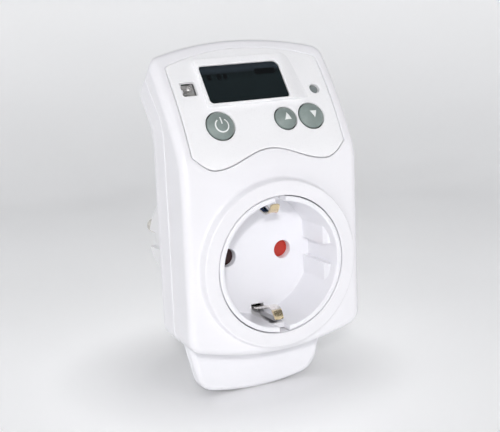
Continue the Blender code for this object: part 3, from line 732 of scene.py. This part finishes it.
def makeFrontShell():
    seam = caseShape["seam"]["depth"] - caseShape["seamGap"] / 2
    edge, wall = caseShape["seamEdge"], caseShape["wall"]
    path = edgeRound(caseShape["frontEdge"], steps=9)
    path += [(0.0, seam - edge), (edge, seam), (wall, seam), (wall, caseShape["frontWall"])]
    shell = loft(caseRings(path))
    rise = -caseShape["rimHeight"]
    outer, turn = rimShape["outer"], rimShape["edge"]
    profile = [(0.0, rise), (outer, rise)]
    for i in range(1, 8):
        a = math.radians(rimShape["sweep"] * i / 7)
        profile.append((outer + turn * math.sin(a), rise + turn * (1 - math.cos(a))))
    foot = rimShape["base"] - rimShape["wall"]
    for i in range(1, 8):
        a = math.radians(rimShape["sweep"] * i / 7)
        profile.append((rimShape["wall"] + foot * (1 - math.cos(a)), foot * (math.sin(a) - 1)))
    profile += [(rimShape["base"], 0.0), (rimShape["base"] + 0.1 * mm, 1.9 * mm), (0.0, 1.9 * mm)]
    join(shell, turned(profile, flat, 144))
    cut(shell, lipCutter(rimShape["radius"], rimShape["lip"], flat, rise, 12 * mm, 144))
    pocket = panelShape["thickness"] + 0.3 * mm
    wide, tight = grown(panelPoints, panelShape["gap"]), grown(panelPoints, panelShape["topGap"])
    split = upFace(panelShape["topFrom"])
    border = [tight[i] if s > split else wide[i] for i, (x, s) in enumerate(panelPoints)]
    cut(shell, outlineCutter(border, panelShape["lip"], flat, 0.0, pocket))
    cut(shell, block(flat, 43 * mm, 27 * mm, 0.0, 8 * mm, (0.0, 50 * mm)))
    place(bend(shell, 4.1 * mm), "case_front", whitePaint, "case", "white_shell", ["front_shell"])


def makeMiddleShell():
    first = caseShape["seam"]["depth"] + caseShape["seamGap"] / 2
    last = caseShape["cover"]["depth"] - caseShape["coverGap"] / 2
    edge, wall, tongue = caseShape["seamEdge"], caseShape["wall"], caseShape["tongue"]
    inside, sharp = wall + 0.15 * mm, caseShape["coverEdge"]
    deeper = inside + 1.0 * mm
    path = [(edge, first), (0.0, first + edge), (0.0, last - sharp), (sharp, last)]
    path += [(inside, last), (inside, last + tongue), (deeper, last + tongue)]
    path += [(deeper, first - tongue), (inside, first - tongue), (inside, first)]
    shell = loft(caseRings(path), closed=True)
    place(bend(shell), "case_middle", whitePaint, "case", "white_shell", ["middle_shell"])


coverShape = {
    "foot": 22.0 * mm,
    "shoulder": 21.4 * mm,
    "end": 20.0 * mm,
    "height": 16.0 * mm,
    "socket": 18.6 * mm,
    "socketLip": 0.0001 * mm,
    "screws": [(side * 23.7 * mm, z) for z in (-12.5 * mm, 27.0 * mm) for side in (-1, 1)],
    "screwHole": 2.9 * mm,
}


def makeBackCover():
    first = caseShape["cover"]["depth"] + caseShape["coverGap"] / 2
    last = caseShape["rear"]["depth"]
    edge, wall = caseShape["coverEdge"], caseShape["wall"]
    path = [(wall, last - 2.2 * mm), (wall, first), (edge, first), (0.0, first + edge)]
    path += [(inset, last - depth) for inset, depth in reversed(edgeRound(caseShape["rearEdge"], steps=8))]
    cover = loft(caseRings(path))
    profile = [(0.0, last - 1 * mm), (coverShape["foot"], last - 1 * mm), (coverShape["foot"], last)]
    for i in range(1, 7):
        t = i / 6
        profile.append((coverShape["foot"] - 0.6 * mm * math.sin(t * math.pi / 2), last + 1.0 * mm * t))
    end = last + coverShape["height"]
    border = reversed(edgeRound(0.8 * mm, steps=5))
    profile += [(coverShape["end"] - inset, end - depth) for inset, depth in border]
    profile.append((0.0, end))
    join(cover, turned(profile, flat, 128))
    bore = lipCutter(coverShape["socket"], coverShape["socketLip"], flat, last - 8 * mm, last + 14 * mm, 128)
    cut(cover, bore)
    for x, z in coverShape["screws"]:
        hole = prism(circle(coverShape["screwHole"], 40, x, z), flat, last - 1.9 * mm, last + 4 * mm)
        cut(cover, hole)
    place(bend(cover), "case_back", whitePaint, "case", "white_shell", ["back_cover"])


makeFrontShell()
makeMiddleShell()
makeBackCover()
print("case shells done")


# ---- control panel

buttonShape = {
    "power": {"x": -13.9 * mm, "z": 41.8 * mm, "radius": 4.3 * mm, "dome": 1.25 * mm},
    "up": {"x": 7.8 * mm, "z": 42.0 * mm, "radius": 3.45 * mm, "dome": 1.25 * mm},
    "down": {"x": 16.6 * mm, "z": 42.0 * mm, "radius": 4.0 * mm, "dome": 1.35 * mm},
    "reset": {"x": 20.8 * mm, "z": 49.5 * mm, "radius": 1.3 * mm, "dome": -0.35 * mm},
}
buttonGap = 0.35 * mm
buttonLip = 0.22 * mm
sensorShape = {
    "x": -20.2 * mm,
    "z": 52.5 * mm,
    "side": 4.8 * mm,
    "corner": 0.5 * mm,
    "lip": 0.2 * mm,
    "front": 0.7 * mm,
    # across, up, width, height and rise of each bar on the can, in mm
    "bars": [(-1.5, 1.1, 1.2, 1.3, 0.5), (-1.3, -1.2, 1.5, 0.7, 0.7), (0.9, -1.5, 1.6, 0.6, 0.4),
             (1.6, 1.2, 0.6, 1.7, 0.6), (-0.2, -0.4, 2.6, 0.35, 0.8)],
}
displayShape = {
    "tilt": 37.3,
    "z": 53.5 * mm,
    "low": 47.0 * mm,
    "high": 60.0 * mm,
    "window": (26.2 * mm, 12.8 * mm),
    "shift": (-2.1 * mm, -1.1 * mm),
    "corners": [1.1 * mm, 1.0 * mm, 1.9 * mm, 1.0 * mm],
    "gap": 0.12 * mm,
    "lip": 0.3 * mm,
    "raised": 1.25 * mm,
    "edge": 0.28 * mm,
    "outline": [(-16.2 * mm, -8.3 * mm), (17.6 * mm, -8.3 * mm),
                (15.2 * mm, 8.0 * mm), (-16.2 * mm, 8.0 * mm)],
    "radii": [0.7 * mm, 0.8 * mm, 2.4 * mm, 0.7 * mm],
    "slopeFrom": 11.8 * mm,
    "slopeTo": 17.6 * mm,
    "sunk": 0.4 * mm,
}


def displayFrame():
    low = faceAt(upFace(displayShape["low"]))[0]
    high = faceAt(upFace(displayShape["high"]))[0]
    return tiltedFrame(0.0, (low + high) / 2, displayShape["z"], math.radians(displayShape["tilt"]))


def windowPoints(grow=0.0):
    w, h = displayShape["window"]
    w, h = w / 2 + grow, h / 2 + grow
    dx, dz = displayShape["shift"]
    corners = [(dx - w, dz - h), (dx + w, dz - h), (dx + w, dz + h), (dx - w, dz + h)]
    return roundedPolygon(corners, [corner + grow for corner in displayShape["corners"]])


def makeFascia():
    edge = panelShape["edge"]
    path = edgeRound(edge, steps=4) + [(0.0, panelShape["thickness"])]
    fascia = loft([[flat @ Vector((x, s, depth)) for x, s in grown(panelPoints, -inset)]
                   for inset, depth in path])
    for name, button in buttonShape.items():
        where = flat @ Matrix.Translation((button["x"], upFace(button["z"]), 0.0))
        cut(fascia, lipCutter(button["radius"] + buttonGap, buttonLip, where, 0.0, 4 * mm, 72))
    half = sensorShape["side"] / 2
    corners = [(-half, -half), (half, -half), (half, half), (-half, half)]
    square = roundedPolygon(corners, [sensorShape["corner"]] * 4)
    where = flat @ Matrix.Translation((sensorShape["x"], upFace(sensorShape["z"]), 0.0))
    cut(fascia, outlineCutter(square, sensorShape["lip"], where, 0.0, 4 * mm))
    bend(fascia, 3.7 * mm)
    outline = roundedPolygon(displayShape["outline"], displayShape["radii"], 10)
    top = -displayShape["raised"]
    path = edgeRound(displayShape["edge"], top, steps=5) + [(-0.15 * mm, 1.3 * mm)]
    field = loft([[Vector((x, z, depth)) for x, z in grown(outline, -inset)] for inset, depth in path])
    start, stop = displayShape["slopeFrom"], displayShape["slopeTo"]
    sliced(field, start, stop, 0.4 * mm, 0)
    for vertex in field.data.vertices:
        t = (vertex.co.x - start) / (stop - start)
        if t > 0 and vertex.co.z < 0:
            vertex.co.z *= 1 - 0.8 * t * t * (3 - 2 * t)
    field.data.transform(displayFrame())
    join(fascia, field)
    opening = windowPoints(displayShape["gap"])
    cut(fascia, outlineCutter(opening, displayShape["lip"], displayFrame(), top, 3 * mm))
    place(fascia, "control_panel", panelPaint, "case", "white_panel", ["fascia"], 26.0)


def makeWindow():
    top = -displayShape["raised"] + displayShape["sunk"]
    path = [(inset, top + depth) for inset, depth in edgeRound(0.12 * mm, steps=3)] + [(0.0, 1.1 * mm)]
    window = loft([[displayFrame() @ Vector((x, z, depth)) for x, z in windowPoints(-inset)]
                   for inset, depth in path])
    place(window, "display_window", glassPaint, "case", "dark_glass", ["lcd_window"])


def dome(button, radius):
    t = radius / button["radius"]
    return -button["dome"] * (1 - t * t)


markShape = {
    "proud": 0.02 * mm,
    "corner": 0.7 * mm,
    "bar": (8.0 * mm, 3.2 * mm, 7.0 * mm, 2.0 * mm),       # across, up, width, height
    "segments": [(x * mm, 2.4 * mm, 1.3 * mm, 1.9 * mm) for x in (-10.9, -7.6, -5.6)],
}


def makeMarks():
    top = -displayShape["raised"] + displayShape["sunk"]
    dx, dz = displayShape["shift"]
    marks = None
    for across, up, w, h in [markShape["bar"], *markShape["segments"]]:
        left, low = across + dx - w / 2, up + dz - h / 2
        corners = [(left, low), (left + w, low), (left + w, low + h), (left, low + h)]
        outline = roundedPolygon(corners, [min(markShape["corner"], 0.3 * w)] * 4, 5)
        plate = prism(outline, displayFrame(), top - markShape["proud"], top + 0.3 * mm)
        if marks:
            join(marks, plate)
        else:
            marks = plate
    place(marks, "display_marks", markPaint, "case", "dark_glass")


def makeSensor():
    where = faceFrame(sensorShape["x"], sensorShape["z"])
    side = sensorShape["side"] / 2 - 0.15 * mm
    front = sensorShape["front"]
    corners = [(-side, -side), (side, -side), (side, side), (-side, side)]
    outline = roundedPolygon(corners, [0.4 * mm] * 4, 4)
    can = prism(outline, where, front + 1.0 * mm, front + 1.6 * mm)
    for x, z, w, h, lift in sensorShape["bars"]:
        start = front + (1.0 - lift) * mm
        join(can, block(where, w * mm, h * mm, start, front + 1.2 * mm, (x * mm, z * mm)))
    bead = [(0.0, front)]
    for a in (0.3, 0.6, 0.9, 1.2, 1.5):
        bead.append((1.0 * mm * math.sin(a), front + 0.9 * mm * (1 - math.cos(a))))
    bead += [(1.0 * mm, front + 1.3 * mm), (0.0, front + 1.3 * mm)]
    join(can, turned(bead, where @ Matrix.Translation((0.5 * mm, 0.5 * mm, 0.0)), 32))
    place(can, "sensor_can", canPaint, "case", "steel", ["sensor_element"])


def makeButtons():
    for name, button in buttonShape.items():
        where = faceFrame(button["x"], button["z"])
        radius = button["radius"]
        small = name == "reset"
        edge = 0.15 * mm if small else 0.3 * mm
        sunk = 0.55 * mm if small else 0.0
        profile = []
        for i in range(15):
            r = (radius - edge) * i / 14
            profile.append((r, dome(button, r) + sunk))
        start = profile[-1][1]
        for i in range(1, 6):
            a = math.radians(15 + 75 * i / 5)
            profile.append((radius - edge + edge * math.sin(a), start + edge * (1 - math.cos(a))))
        stem, deep, last = (0.8 * mm, 2.6 * mm, 3.6 * mm) if small else (1.3 * mm, 1.5 * mm, 4.2 * mm)
        profile += [(radius, deep), (stem, deep), (stem, last), (0.0, last)]
        paint = resetPaint if small else buttonPaint
        node = name + "_button"
        place(turned(profile, where, 72), name + "_cap", paint, node, "grey_rubber", [node])


signShape = {
    "ring": 2.05 * mm,
    "line": 0.4 * mm,
    "gapAngle": 32.0,
    "proud": 0.03 * mm,
    "arrow": 2.3 * mm,
    "up": (0.1 * mm, 0.1 * mm),                  # where each arrow sits on its cap
    "down": (0.3 * mm, 0.1 * mm),
}


def strip(button, path, widths):              # a thin line that follows the cap's dome
    where = faceFrame(button["x"], button["z"])
    rings = []
    for i, (x, z) in enumerate(path):
        before = Vector(path[max(i - 1, 0)])
        after = Vector(path[min(i + 1, len(path) - 1)])
        along = (after - before).normalized()
        side = Vector((-along.y, along.x)) * widths[i] / 2
        ring = []
        for lift in (1, -1):
            for k in range(-4, 5):
                px, pz = x + side.x * lift * k / 4, z + side.y * lift * k / 4
                height = dome(button, math.hypot(px, pz)) - lift * signShape["proud"]
                ring.append(where @ Vector((px, pz, height)))
        rings.append(ring)
    return loft(rings)


def placeSign(body, name, rides):
    place(body, name, signPaint, rides, "white_panel")


def makeSigns():
    power = buttonShape["power"]
    turn = signShape["gapAngle"]
    ring = arcPoints(0.0, -0.25 * mm, signShape["ring"], 90 + turn, 450 - turn, 48)
    placeSign(strip(power, ring, [signShape["line"]] * len(ring)), "power_sign_ring", "power_button")
    bar = [(0.0, (0.1 + 2.3 * i / 8) * mm) for i in range(9)]
    placeSign(strip(power, bar, [signShape["line"]] * 9), "power_sign_bar", "power_button")
    for name, way in (("up", 1), ("down", -1)):
        size = signShape["arrow"]
        across, up = signShape[name]
        path = [(across, up + way * (-0.42 + 1.0 * i / 8) * size) for i in range(9)]
        widths = [max(size * 0.98 * (1 - i / 8), 0.06 * mm) for i in range(9)]
        placeSign(strip(buttonShape[name], path, widths), name + "_arrow", name + "_button")


makeFascia()
makeWindow()
makeMarks()
makeSensor()
makeButtons()
makeSigns()
print("control panel done")


# ---- socket

socketShape = {
    "ring": 20.55 * mm,
    "recess": 19.0 * mm,
    "depth": 17.3 * mm,
    "floor": 2.5 * mm,
    "guideX": 16.9 * mm,
    "slot": 2.9 * mm,
    "guideFrom": 3.4 * mm,
    "bevel": 1.5 * mm,
    "hole": 2.8 * mm,
    "edge": 0.45 * mm,
    "collar": (22.6 * mm, 6.1 * mm, 7.6 * mm),   # radius, front and back of the flange
}


def makeSocket():
    where = frontFrame(0.0, bossY, 0.0)
    ring, recess, edge = socketShape["ring"], socketShape["recess"], socketShape["edge"]
    deep, back = socketShape["depth"], socketShape["depth"] + socketShape["floor"]
    collar, collarFrom, collarTo = socketShape["collar"]
    profile = [(0.0, back), (ring, back), (ring, collarTo), (collar, collarTo)]
    profile += [(collar, collarFrom), (ring, collarFrom)]
    profile += [(ring - inset, depth) for inset, depth in reversed(edgeRound(edge, steps=5))]
    profile += [(recess + inset, depth) for inset, depth in edgeRound(edge, steps=5)]
    profile += [(recess, deep - 0.5 * mm), (recess - 0.15 * mm, deep - 0.15 * mm)]
    profile += [(recess - 0.5 * mm, deep), (0.0, deep)]
    cup = turned(profile, where, 160)
    outer = 19.6 * mm
    for side in (-1, 1):
        for way in (-1, 1):
            rings = []
            slot, guide, start = socketShape["slot"], socketShape["guideX"], socketShape["guideFrom"]
            for inset, depth in ((1.3 * mm, start), (0.9 * mm, start + 0.1 * mm),
                                 (0.0, start + socketShape["bevel"]), (0.0, deep + 0.4 * mm)):
                x0 = guide + inset
                high = math.sqrt(outer * outer - x0 * x0)
                low = slot + min(inset, 0.35 * mm)
                points = [(x0, low + (high - low) * i / 8) for i in range(9)]
                a0 = math.degrees(math.atan2(high, x0))
                a1 = math.degrees(math.asin(low / outer))
                points += arcPoints(0.0, 0.0, outer, a0, a1, 12)[1:]
                rings.append([where @ Vector((side * x, way * z, depth)) for x, z in points])
            join(cup, loft(rings))
        hole = frontFrame(side * contactX, bossY, 0.0)
        cut(cup, lipCutter(socketShape["hole"], 0.35 * mm, hole, deep, deep + 8 * mm, 48))
        cut(cup, block(where, 3.5 * mm, 6 * mm, -5 * mm, 4.0 * mm, (0.0, side * 21 * mm)))
        cut(cup, block(where, 4.4 * mm, 4.6 * mm, 5.0 * mm, 30 * mm, (0.0, side * 18.3 * mm)))
    place(cup, "socket_cup", insertPaint, "case", "white_shell", ["socket_insert"])


clipShape = {
    # (y, distance from the axis) from the root to the curled tip, in mm
    "path": [(-36.9, 17.3), (-40.0, 17.15), (-43.2, 16.7), (-46.4, 15.75), (-49.4, 14.85),
             (-51.4, 14.65), (-52.9, 15.2), (-54.0, 16.4), (-54.6, 17.7)],
    "thick": 0.55 * mm,
    "width": 3.3 * mm,
    "tipWidth": 2.7 * mm,
    "ridge": 0.42 * mm,
}


def smoothPath(points, steps=6):
    result = []
    for i in range(len(points) - 1):
        a, b, c, d = (Vector(points[min(max(k, 0), len(points) - 1)]) for k in (i - 1, i, i + 1, i + 2))
        for k in range(steps):
            t = k / steps
            square, cube = 2 * a - 5 * b + 4 * c - d, 3 * b - a - 3 * c + d
            result.append(0.5 * (2 * b + (c - a) * t + square * t * t + cube * t ** 3))
    return result + [Vector(points[-1])]


def makeClips():
    path = [p * mm for p in smoothPath([Vector(p) for p in clipShape["path"]])]
    count = len(path)
    for side, name in ((1, "top"), (-1, "bottom")):
        rings = []
        for i, p in enumerate(path):
            along = (path[min(i + 1, count - 1)] - path[max(i - 1, 0)]).normalized()
            out = Vector((along.y, -along.x)) * -1
            t = i / (count - 1)
            half = clipShape["width"] / 2
            if t > 0.72:
                half += (clipShape["tipWidth"] - clipShape["width"]) / 2 * (t - 0.72) / 0.28
            if i == count - 1:
                half -= 0.3 * mm
            swell = max(0.0, math.sin(min(max((t - 0.12) / 0.62, 0.0), 1.0) * math.pi)) ** 0.6
            ridge = clipShape["ridge"] * swell
            ring = []
            for face in (1, -1):
                for k in range(-6, 7):
                    v = k / 6 * face
                    lift = ridge * math.exp(-(v / 0.34) ** 2) - 0.12 * mm * v ** 4
                    middle = p + out * (face * clipShape["thick"] / 2 - lift)
                    ring.append(Vector((v * half, middle.x, side * middle.y)))
            rings.append(ring)
        clip = loft(rings)
        node = "earth_clip_" + name
        place(clip, node + "_spring", clipPaint, "case", "nickel", [node], 40.0)


shutterShape = {
    "y": -37.9 * mm,
    "thick": 1.1 * mm,
    "hub": 4.2 * mm,
    "bore": 2.3 * mm,
    "lobe": 3.7 * mm,
    "arm": 4.6 * mm,
}


def makeShutter():
    where = frontFrame(0.0, shutterShape["y"], 0.0)
    thick, hub, lobe = shutterShape["thick"], shutterShape["hub"], shutterShape["lobe"]
    middle = [(0.0, 0.0), (3.95 * mm, 0.0), (hub, 0.25 * mm), (hub, thick), (0.0, thick)]
    plate = turned(middle, where, 48)
    join(plate, block(where, 2 * contactX, shutterShape["arm"], 0.0, thick))
    dished = [(0.0, 0.35 * mm), (1.0 * mm, 0.3 * mm), (2.2 * mm, 0.0), (3.4 * mm, 0.0)]
    dished += [(lobe, 0.3 * mm), (lobe, thick), (0.0, thick)]
    for side in (-1, 1):
        end = where @ Matrix.Translation((side * contactX, 0.0, 0.0))
        join(plate, turned(dished, end, 48))
    cut(plate, prism(circle(shutterShape["bore"], 40), where, -1 * mm, 5 * mm))
    place(plate, "shutter_plate", redPaint, "safety_shutter", "red_plastic", ["safety_shutter"])


makeSocket()
makeClips()
makeShutter()
print("socket done")


# ---- plug and screws

plugShape = {
    # width, height, front and distance from the axis of each notch in the plug
    "sideNotch": (4.6 * mm, 5.4 * mm, -13.5 * mm, 18.6 * mm),
    "earthNotch": (4.8 * mm, 3.0 * mm, -11.4 * mm, 18.8 * mm),
    "notchCorner": 0.7 * mm,
    "edge": 1.0 * mm,
    "pinGap": 0.3 * mm,
    "pinFrom": -22 * mm,
    "pinNose": 2.0 * mm,
}


def makePlug():
    where = frontFrame()
    edge = plugShape["edge"]
    profile = [(0.0, plugBackY), (plugRadius, plugBackY), (plugRadius, -edge)]
    profile += [(plugRadius - inset, -depth) for inset, depth in reversed(edgeRound(edge))][1:]
    profile.append((0.0, 0.0))
    body = turned(profile, where, 128)
    for side in (-1, 1):
        bore = circle(pinRadius + plugShape["pinGap"], 40, side * contactX, 0.0)
        cut(body, prism(bore, where, -60 * mm, 10 * mm))
        for key in ("sideNotch", "earthNotch"):
            w, h, start, far = plugShape[key]
            corners = [(-w / 2, -h / 2), (w / 2, -h / 2), (w / 2, h / 2), (-w / 2, h / 2)]
            notch = roundedPolygon(corners, [plugShape["notchCorner"]] * 4, 5)
            shift = (0.0, side * far) if key == "earthNotch" else (side * far, 0.0)
            cut(body, prism([(x + shift[0], z + shift[1]) for x, z in notch], where, start, 5 * mm))
    place(body, "plug_shell", plugPaint, "case", "white_shell", ["plug_body"])
    start, nose = plugShape["pinFrom"], plugShape["pinNose"]
    pin = [(0.0, start), (pinRadius, start)]
    for i in range(9):
        a = math.radians(90 * i / 8)
        pin.append((pinRadius * (0.35 + 0.65 * math.cos(a)), pinTipY - nose + nose * math.sin(a)))
    pin.append((0.0, pinTipY))
    for side, name in ((-1, "left"), (1, "right")):
        rod = turned(pin, frontFrame(side * contactX, 0.0, 0.0), 48)
        place(rod, "pin_" + name + "_rod", nickelPaint, "case", "nickel", ["pin_" + name])
    for side, name in ((1, "top"), (-1, "bottom")):
        low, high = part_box("plug_earth_" + name)
        w = high.x
        corners = roundedPolygon([(-w, low.y), (w, low.y), (w, high.y), (-w, high.y)], [0.6 * mm] * 4, 5)
        path = [(0.15 * mm, 0.0), (0.0, 0.12 * mm), (0.0, high.z - low.z)]
        outside = high.z if side > 0 else low.z
        strap = loft([[Vector((x, y, outside - side * depth)) for x, y in grown(corners, -inset)]
                      for inset, depth in path])
        place(strap, "plug_earth_" + name + "_strip", nickelPaint, "case", "nickel", ["plug_earth_" + name])


screwShape = {
    "sunk": 1.6 * mm,                            # head below the back of the case
    "shank": 1.2 * mm,
    "length": 6.5 * mm,
    "head": 2.5 * mm,
    "headTo": 7.5 * mm,
    "crown": 0.6 * mm,
    "cross": (3.2 * mm, 0.7 * mm),
    "crossFrom": 7.4 * mm,
}


def makeScrews():
    shank, length = screwShape["shank"], screwShape["length"]
    head, headTo = screwShape["head"], screwShape["headTo"]
    names = ("low_left", "low_right", "high_left", "high_right")
    for (x, z), name in zip(coverShape["screws"], names):
        where = frontFrame(x, rearY - screwShape["sunk"] - length, z)
        profile = [(0.0, 0.0), (shank, 0.0), (shank, length), (head, length), (head, headTo)]
        for i in range(1, 6):
            a = math.radians(90 * i / 5)
            radius = head * math.cos(a) if i < 5 else 0.0
            profile.append((radius, headTo + screwShape["crown"] * math.sin(a)))
        screw = turned(profile, where, 40)
        wide, narrow = screwShape["cross"]
        cut(screw, block(where, wide, narrow, screwShape["crossFrom"], 9 * mm))
        cut(screw, block(where, narrow, wide, screwShape["crossFrom"], 9 * mm))
        place(screw, "screw_" + name, steelPaint, "case", "steel", ["case_screw_" + name])


makePlug()
makeScrews()
print("plug done")


# ---- chin

chinShape = {
    "frontY": -40.4 * mm,
    "seamY": -37.4 * mm,
    "rearY": -25.0 * mm,
    "top": 25.6 * mm,
    "topZ": -19.0 * mm,
    "low": 21.4 * mm,
    "radius": 7.0 * mm,
    "footRadius": 78.0 * mm,
    "frontEdge": 1.7 * mm,
    "rearEdge": 2.6 * mm,
    "clear": 0.3 * mm,
}


def chinLoop(inset):
    foot, arch = footZ + inset, chinShape["footRadius"] - inset
    top, low, radius = chinShape["top"] - inset, chinShape["low"] - inset, chinShape["radius"]
    inner = low - radius
    turn = math.asin(inner / (arch - radius))
    height = foot + arch - (arch - radius) * math.cos(turn)
    start = (top, chinShape["topZ"])
    corner = arcPoints(inner, height, radius, -10.0, math.degrees(turn) - 90.0, 16)
    under = arcPoints(0.0, foot + arch, arch, math.degrees(turn) - 90.0, -90.0, 10)[1:]
    right = [start] + between(start, corner[0], 14) + corner + under
    return right + [(-x, z) for x, z in reversed(right[:-1])]


def chinRings(path):
    return [[Vector((x, y, z)) for x, z in chinLoop(inset)] for inset, y in path]


def underCase(low, high):
    reach = halfWidth + 5 * mm
    arch = archTop(reach, -lowestZ + chinShape["clear"], caseShape["archRadius"], 1 * mm)
    points = [(x, -z) for x, z in arch] + [(-reach, 60 * mm), (reach, 60 * mm)]
    return prism(points, frontFrame(), low, high)


def makeChin():
    front, seam, rear = chinShape["frontY"], chinShape["seamY"], chinShape["rearY"]
    path = [(inset, front + depth) for inset, depth in edgeRound(chinShape["frontEdge"], steps=8)]
    path += [(0.0, seam - 0.55 * mm), (0.25 * mm, seam - 0.3 * mm)]
    piece = loft(chinRings(path))
    cut(piece, underCase(-60 * mm, 0.0))
    place(piece, "chin_shell_front", chinPaint, "case", "white_shell", ["chin_front"])
    path = [(0.25 * mm, seam), (0.0, seam + 0.25 * mm)] + [(0.0, seam + k * mm) for k in (1, 2, 3, 5, 7)]
    path += [(inset, rear - depth) for inset, depth in reversed(edgeRound(chinShape["rearEdge"], steps=8))]
    piece = loft(chinRings(path))
    for vertex in piece.data.vertices:
        limit = 17.5 * mm + 0.5 * (-20 * mm - vertex.co.y)
        vertex.co.x *= min(1.0, limit / chinShape["top"])
    cut(piece, underCase(-60 * mm, rearY + 0.3 * mm))
    cut(piece, block(frontFrame(), 80 * mm, 22.4 * mm, rearY, 0.0, (0.0, -11.2 * mm)))
    place(piece, "chin_shell_back", chinPaint, "case", "white_shell", ["chin_back"])


makeChin()
print("chin done")


# ---- floor, light and camera

stageShape = {
    "flat": 0.34,
    "bowl": 0.75,
    "centre": 0.02,
    # distance from the centre in metres, and the light the sweep itself gives off there: painted light, kept
    # dark close to the centre as a painted shadow around the case's foot
    "paintedLightAndShadow": [(0.0, 0.0), (0.022, 0.0), (0.042, 0.14), (0.06, 0.26), (0.12, 0.19), (0.3, 0.08),
             (0.5, 0.18), (0.7, 0.34), (1.0, 0.28)],
}


def makeStage():
    paint, tree, shader, where = newPaint("studio_floor")
    greys = [(0.3, (0.92, 0.92, 0.92)), (0.6, (0.935, 0.935, 0.94)), (0.8, (0.94, 0.94, 0.945))]
    base = tints(tree, grain(tree, where, 9.0, 4.0), greys)
    tree.links.new(base, shader.inputs["Base Color"])
    tree.links.new(spread(tree, grain(tree, where, 30.0, 4.0), 0.28, 0.38), shader.inputs["Roughness"])
    relief(tree, shader, [(grain(tree, where, 700.0, 2.0), 0.03, 0.05 * mm)])
    shader.inputs["Specular IOR Level"].default_value = 0.35
    # the sweep glows by distance from the centre: painted light on the floor and backdrop, dim near the
    # object as a painted shadow
    level = tree.nodes.new("ShaderNodeMapping")
    level.inputs["Location"].default_value = (0.0, stageShape["centre"], 0.0)
    level.inputs["Scale"].default_value = (1.0, 1.0, 0.0)
    tree.links.new(where, level.inputs["Vector"])
    reach = tree.nodes.new("ShaderNodeVectorMath")
    reach.operation = "LENGTH"
    tree.links.new(level.outputs["Vector"], reach.inputs[0])
    steps = [(r, (g, g * 1.005, g * 1.02)) for r, g in stageShape["paintedLightAndShadow"]]
    paintedLightAndShadow = tints(tree, reach.outputs["Value"], steps)
    tree.links.new(paintedLightAndShadow, shader.inputs["Emission Color"])
    shader.inputs["Emission Strength"].default_value = 1.0
    edge, bowl = stageShape["flat"], stageShape["bowl"]
    profile = [(0.0, 0.0), (edge, 0.0)]
    for i in range(1, 25):
        a = math.radians(80 * i / 24)
        profile.append((edge + bowl * math.sin(a), bowl * (1 - math.cos(a))))
    bm = bmesh.new()
    rows = []
    for radius, height in profile:
        points = circle(radius, 96) if radius > 0 else [(0.0, 0.0)]
        rows.append([bm.verts.new((x, y - 0.03, footZ + height)) for x, y in points])
    for first, second in zip(rows, rows[1:]):
        for i in range(96):
            j = (i + 1) % 96
            corners = [first[i % len(first)], first[j % len(first)]]
            corners += [second[j % len(second)], second[i % len(second)]]
            bm.faces.new(list(dict.fromkeys(corners)))
    floor = toObject(bm, "studio_sweep")
    floor.data.shade_smooth()
    floor.data.materials.append(paint)


lights = {
    "key": {"place": (-0.43, -0.88, 0.38), "size": 0.07, "power": 3.6, "colour": (1.0, 0.985, 0.985)},
    "top": {"place": (-0.15, 0.0, 1.0), "size": 0.7, "power": 1.3, "colour": (0.97, 0.98, 1.0)},
    "left": {"place": (-0.95, -0.2, 0.25), "size": 0.5, "power": 0.6, "colour": (0.93, 0.96, 1.0)},
}


def makeLights():
    for name, light in lights.items():
        lamp = bpy.data.lights.new(name, "AREA")
        lamp.shape = "SQUARE"
        lamp.size = light["size"]
        lamp.energy = light["power"]
        lamp.color = light["colour"]
        holder = bpy.data.objects.new(name, lamp)
        bpy.context.scene.collection.objects.link(holder)
        holder.location = light["place"]
        aim = Vector((0.0, -0.03, 0.02)) - Vector(light["place"])
        holder.rotation_euler = aim.to_track_quat("-Z", "Y").to_euler()
    world = bpy.data.worlds.new("studio")
    world.use_nodes = True
    world.node_tree.nodes["Background"].inputs["Color"].default_value = (0.95, 0.97, 1.0, 1.0)
    world.node_tree.nodes["Background"].inputs["Strength"].default_value = 0.2
    bpy.context.scene.world = world


cameraShape = {
    "place": (-157.86 * mm, -346.84 * mm, 85.33 * mm),
    "right": (0.88568, -0.46255, -0.04026),
    "up": (0.13153, 0.16680, 0.97718),
    "lens": 82.8,
    "sensor": 36.0,
}


def makeCamera():
    lens = bpy.data.cameras.new("camera")
    lens.lens = cameraShape["lens"]
    lens.sensor_width = cameraShape["sensor"]
    lens.clip_start = 0.01
    lens.clip_end = 20.0
    camera = bpy.data.objects.new("camera", lens)
    bpy.context.scene.collection.objects.link(camera)
    right, up = Vector(cameraShape["right"]), Vector(cameraShape["up"])
    back = right.cross(up)
    rows = [(right[i], up[i], back[i], cameraShape["place"][i]) for i in range(3)]
    camera.matrix_world = Matrix([*rows, (0.0, 0.0, 0.0, 1.0)])
    bpy.context.scene.camera = camera


makeStage()
makeLights()
makeCamera()
bpy.context.scene.view_settings.view_transform = "Standard"
bpy.context.view_layer.update()
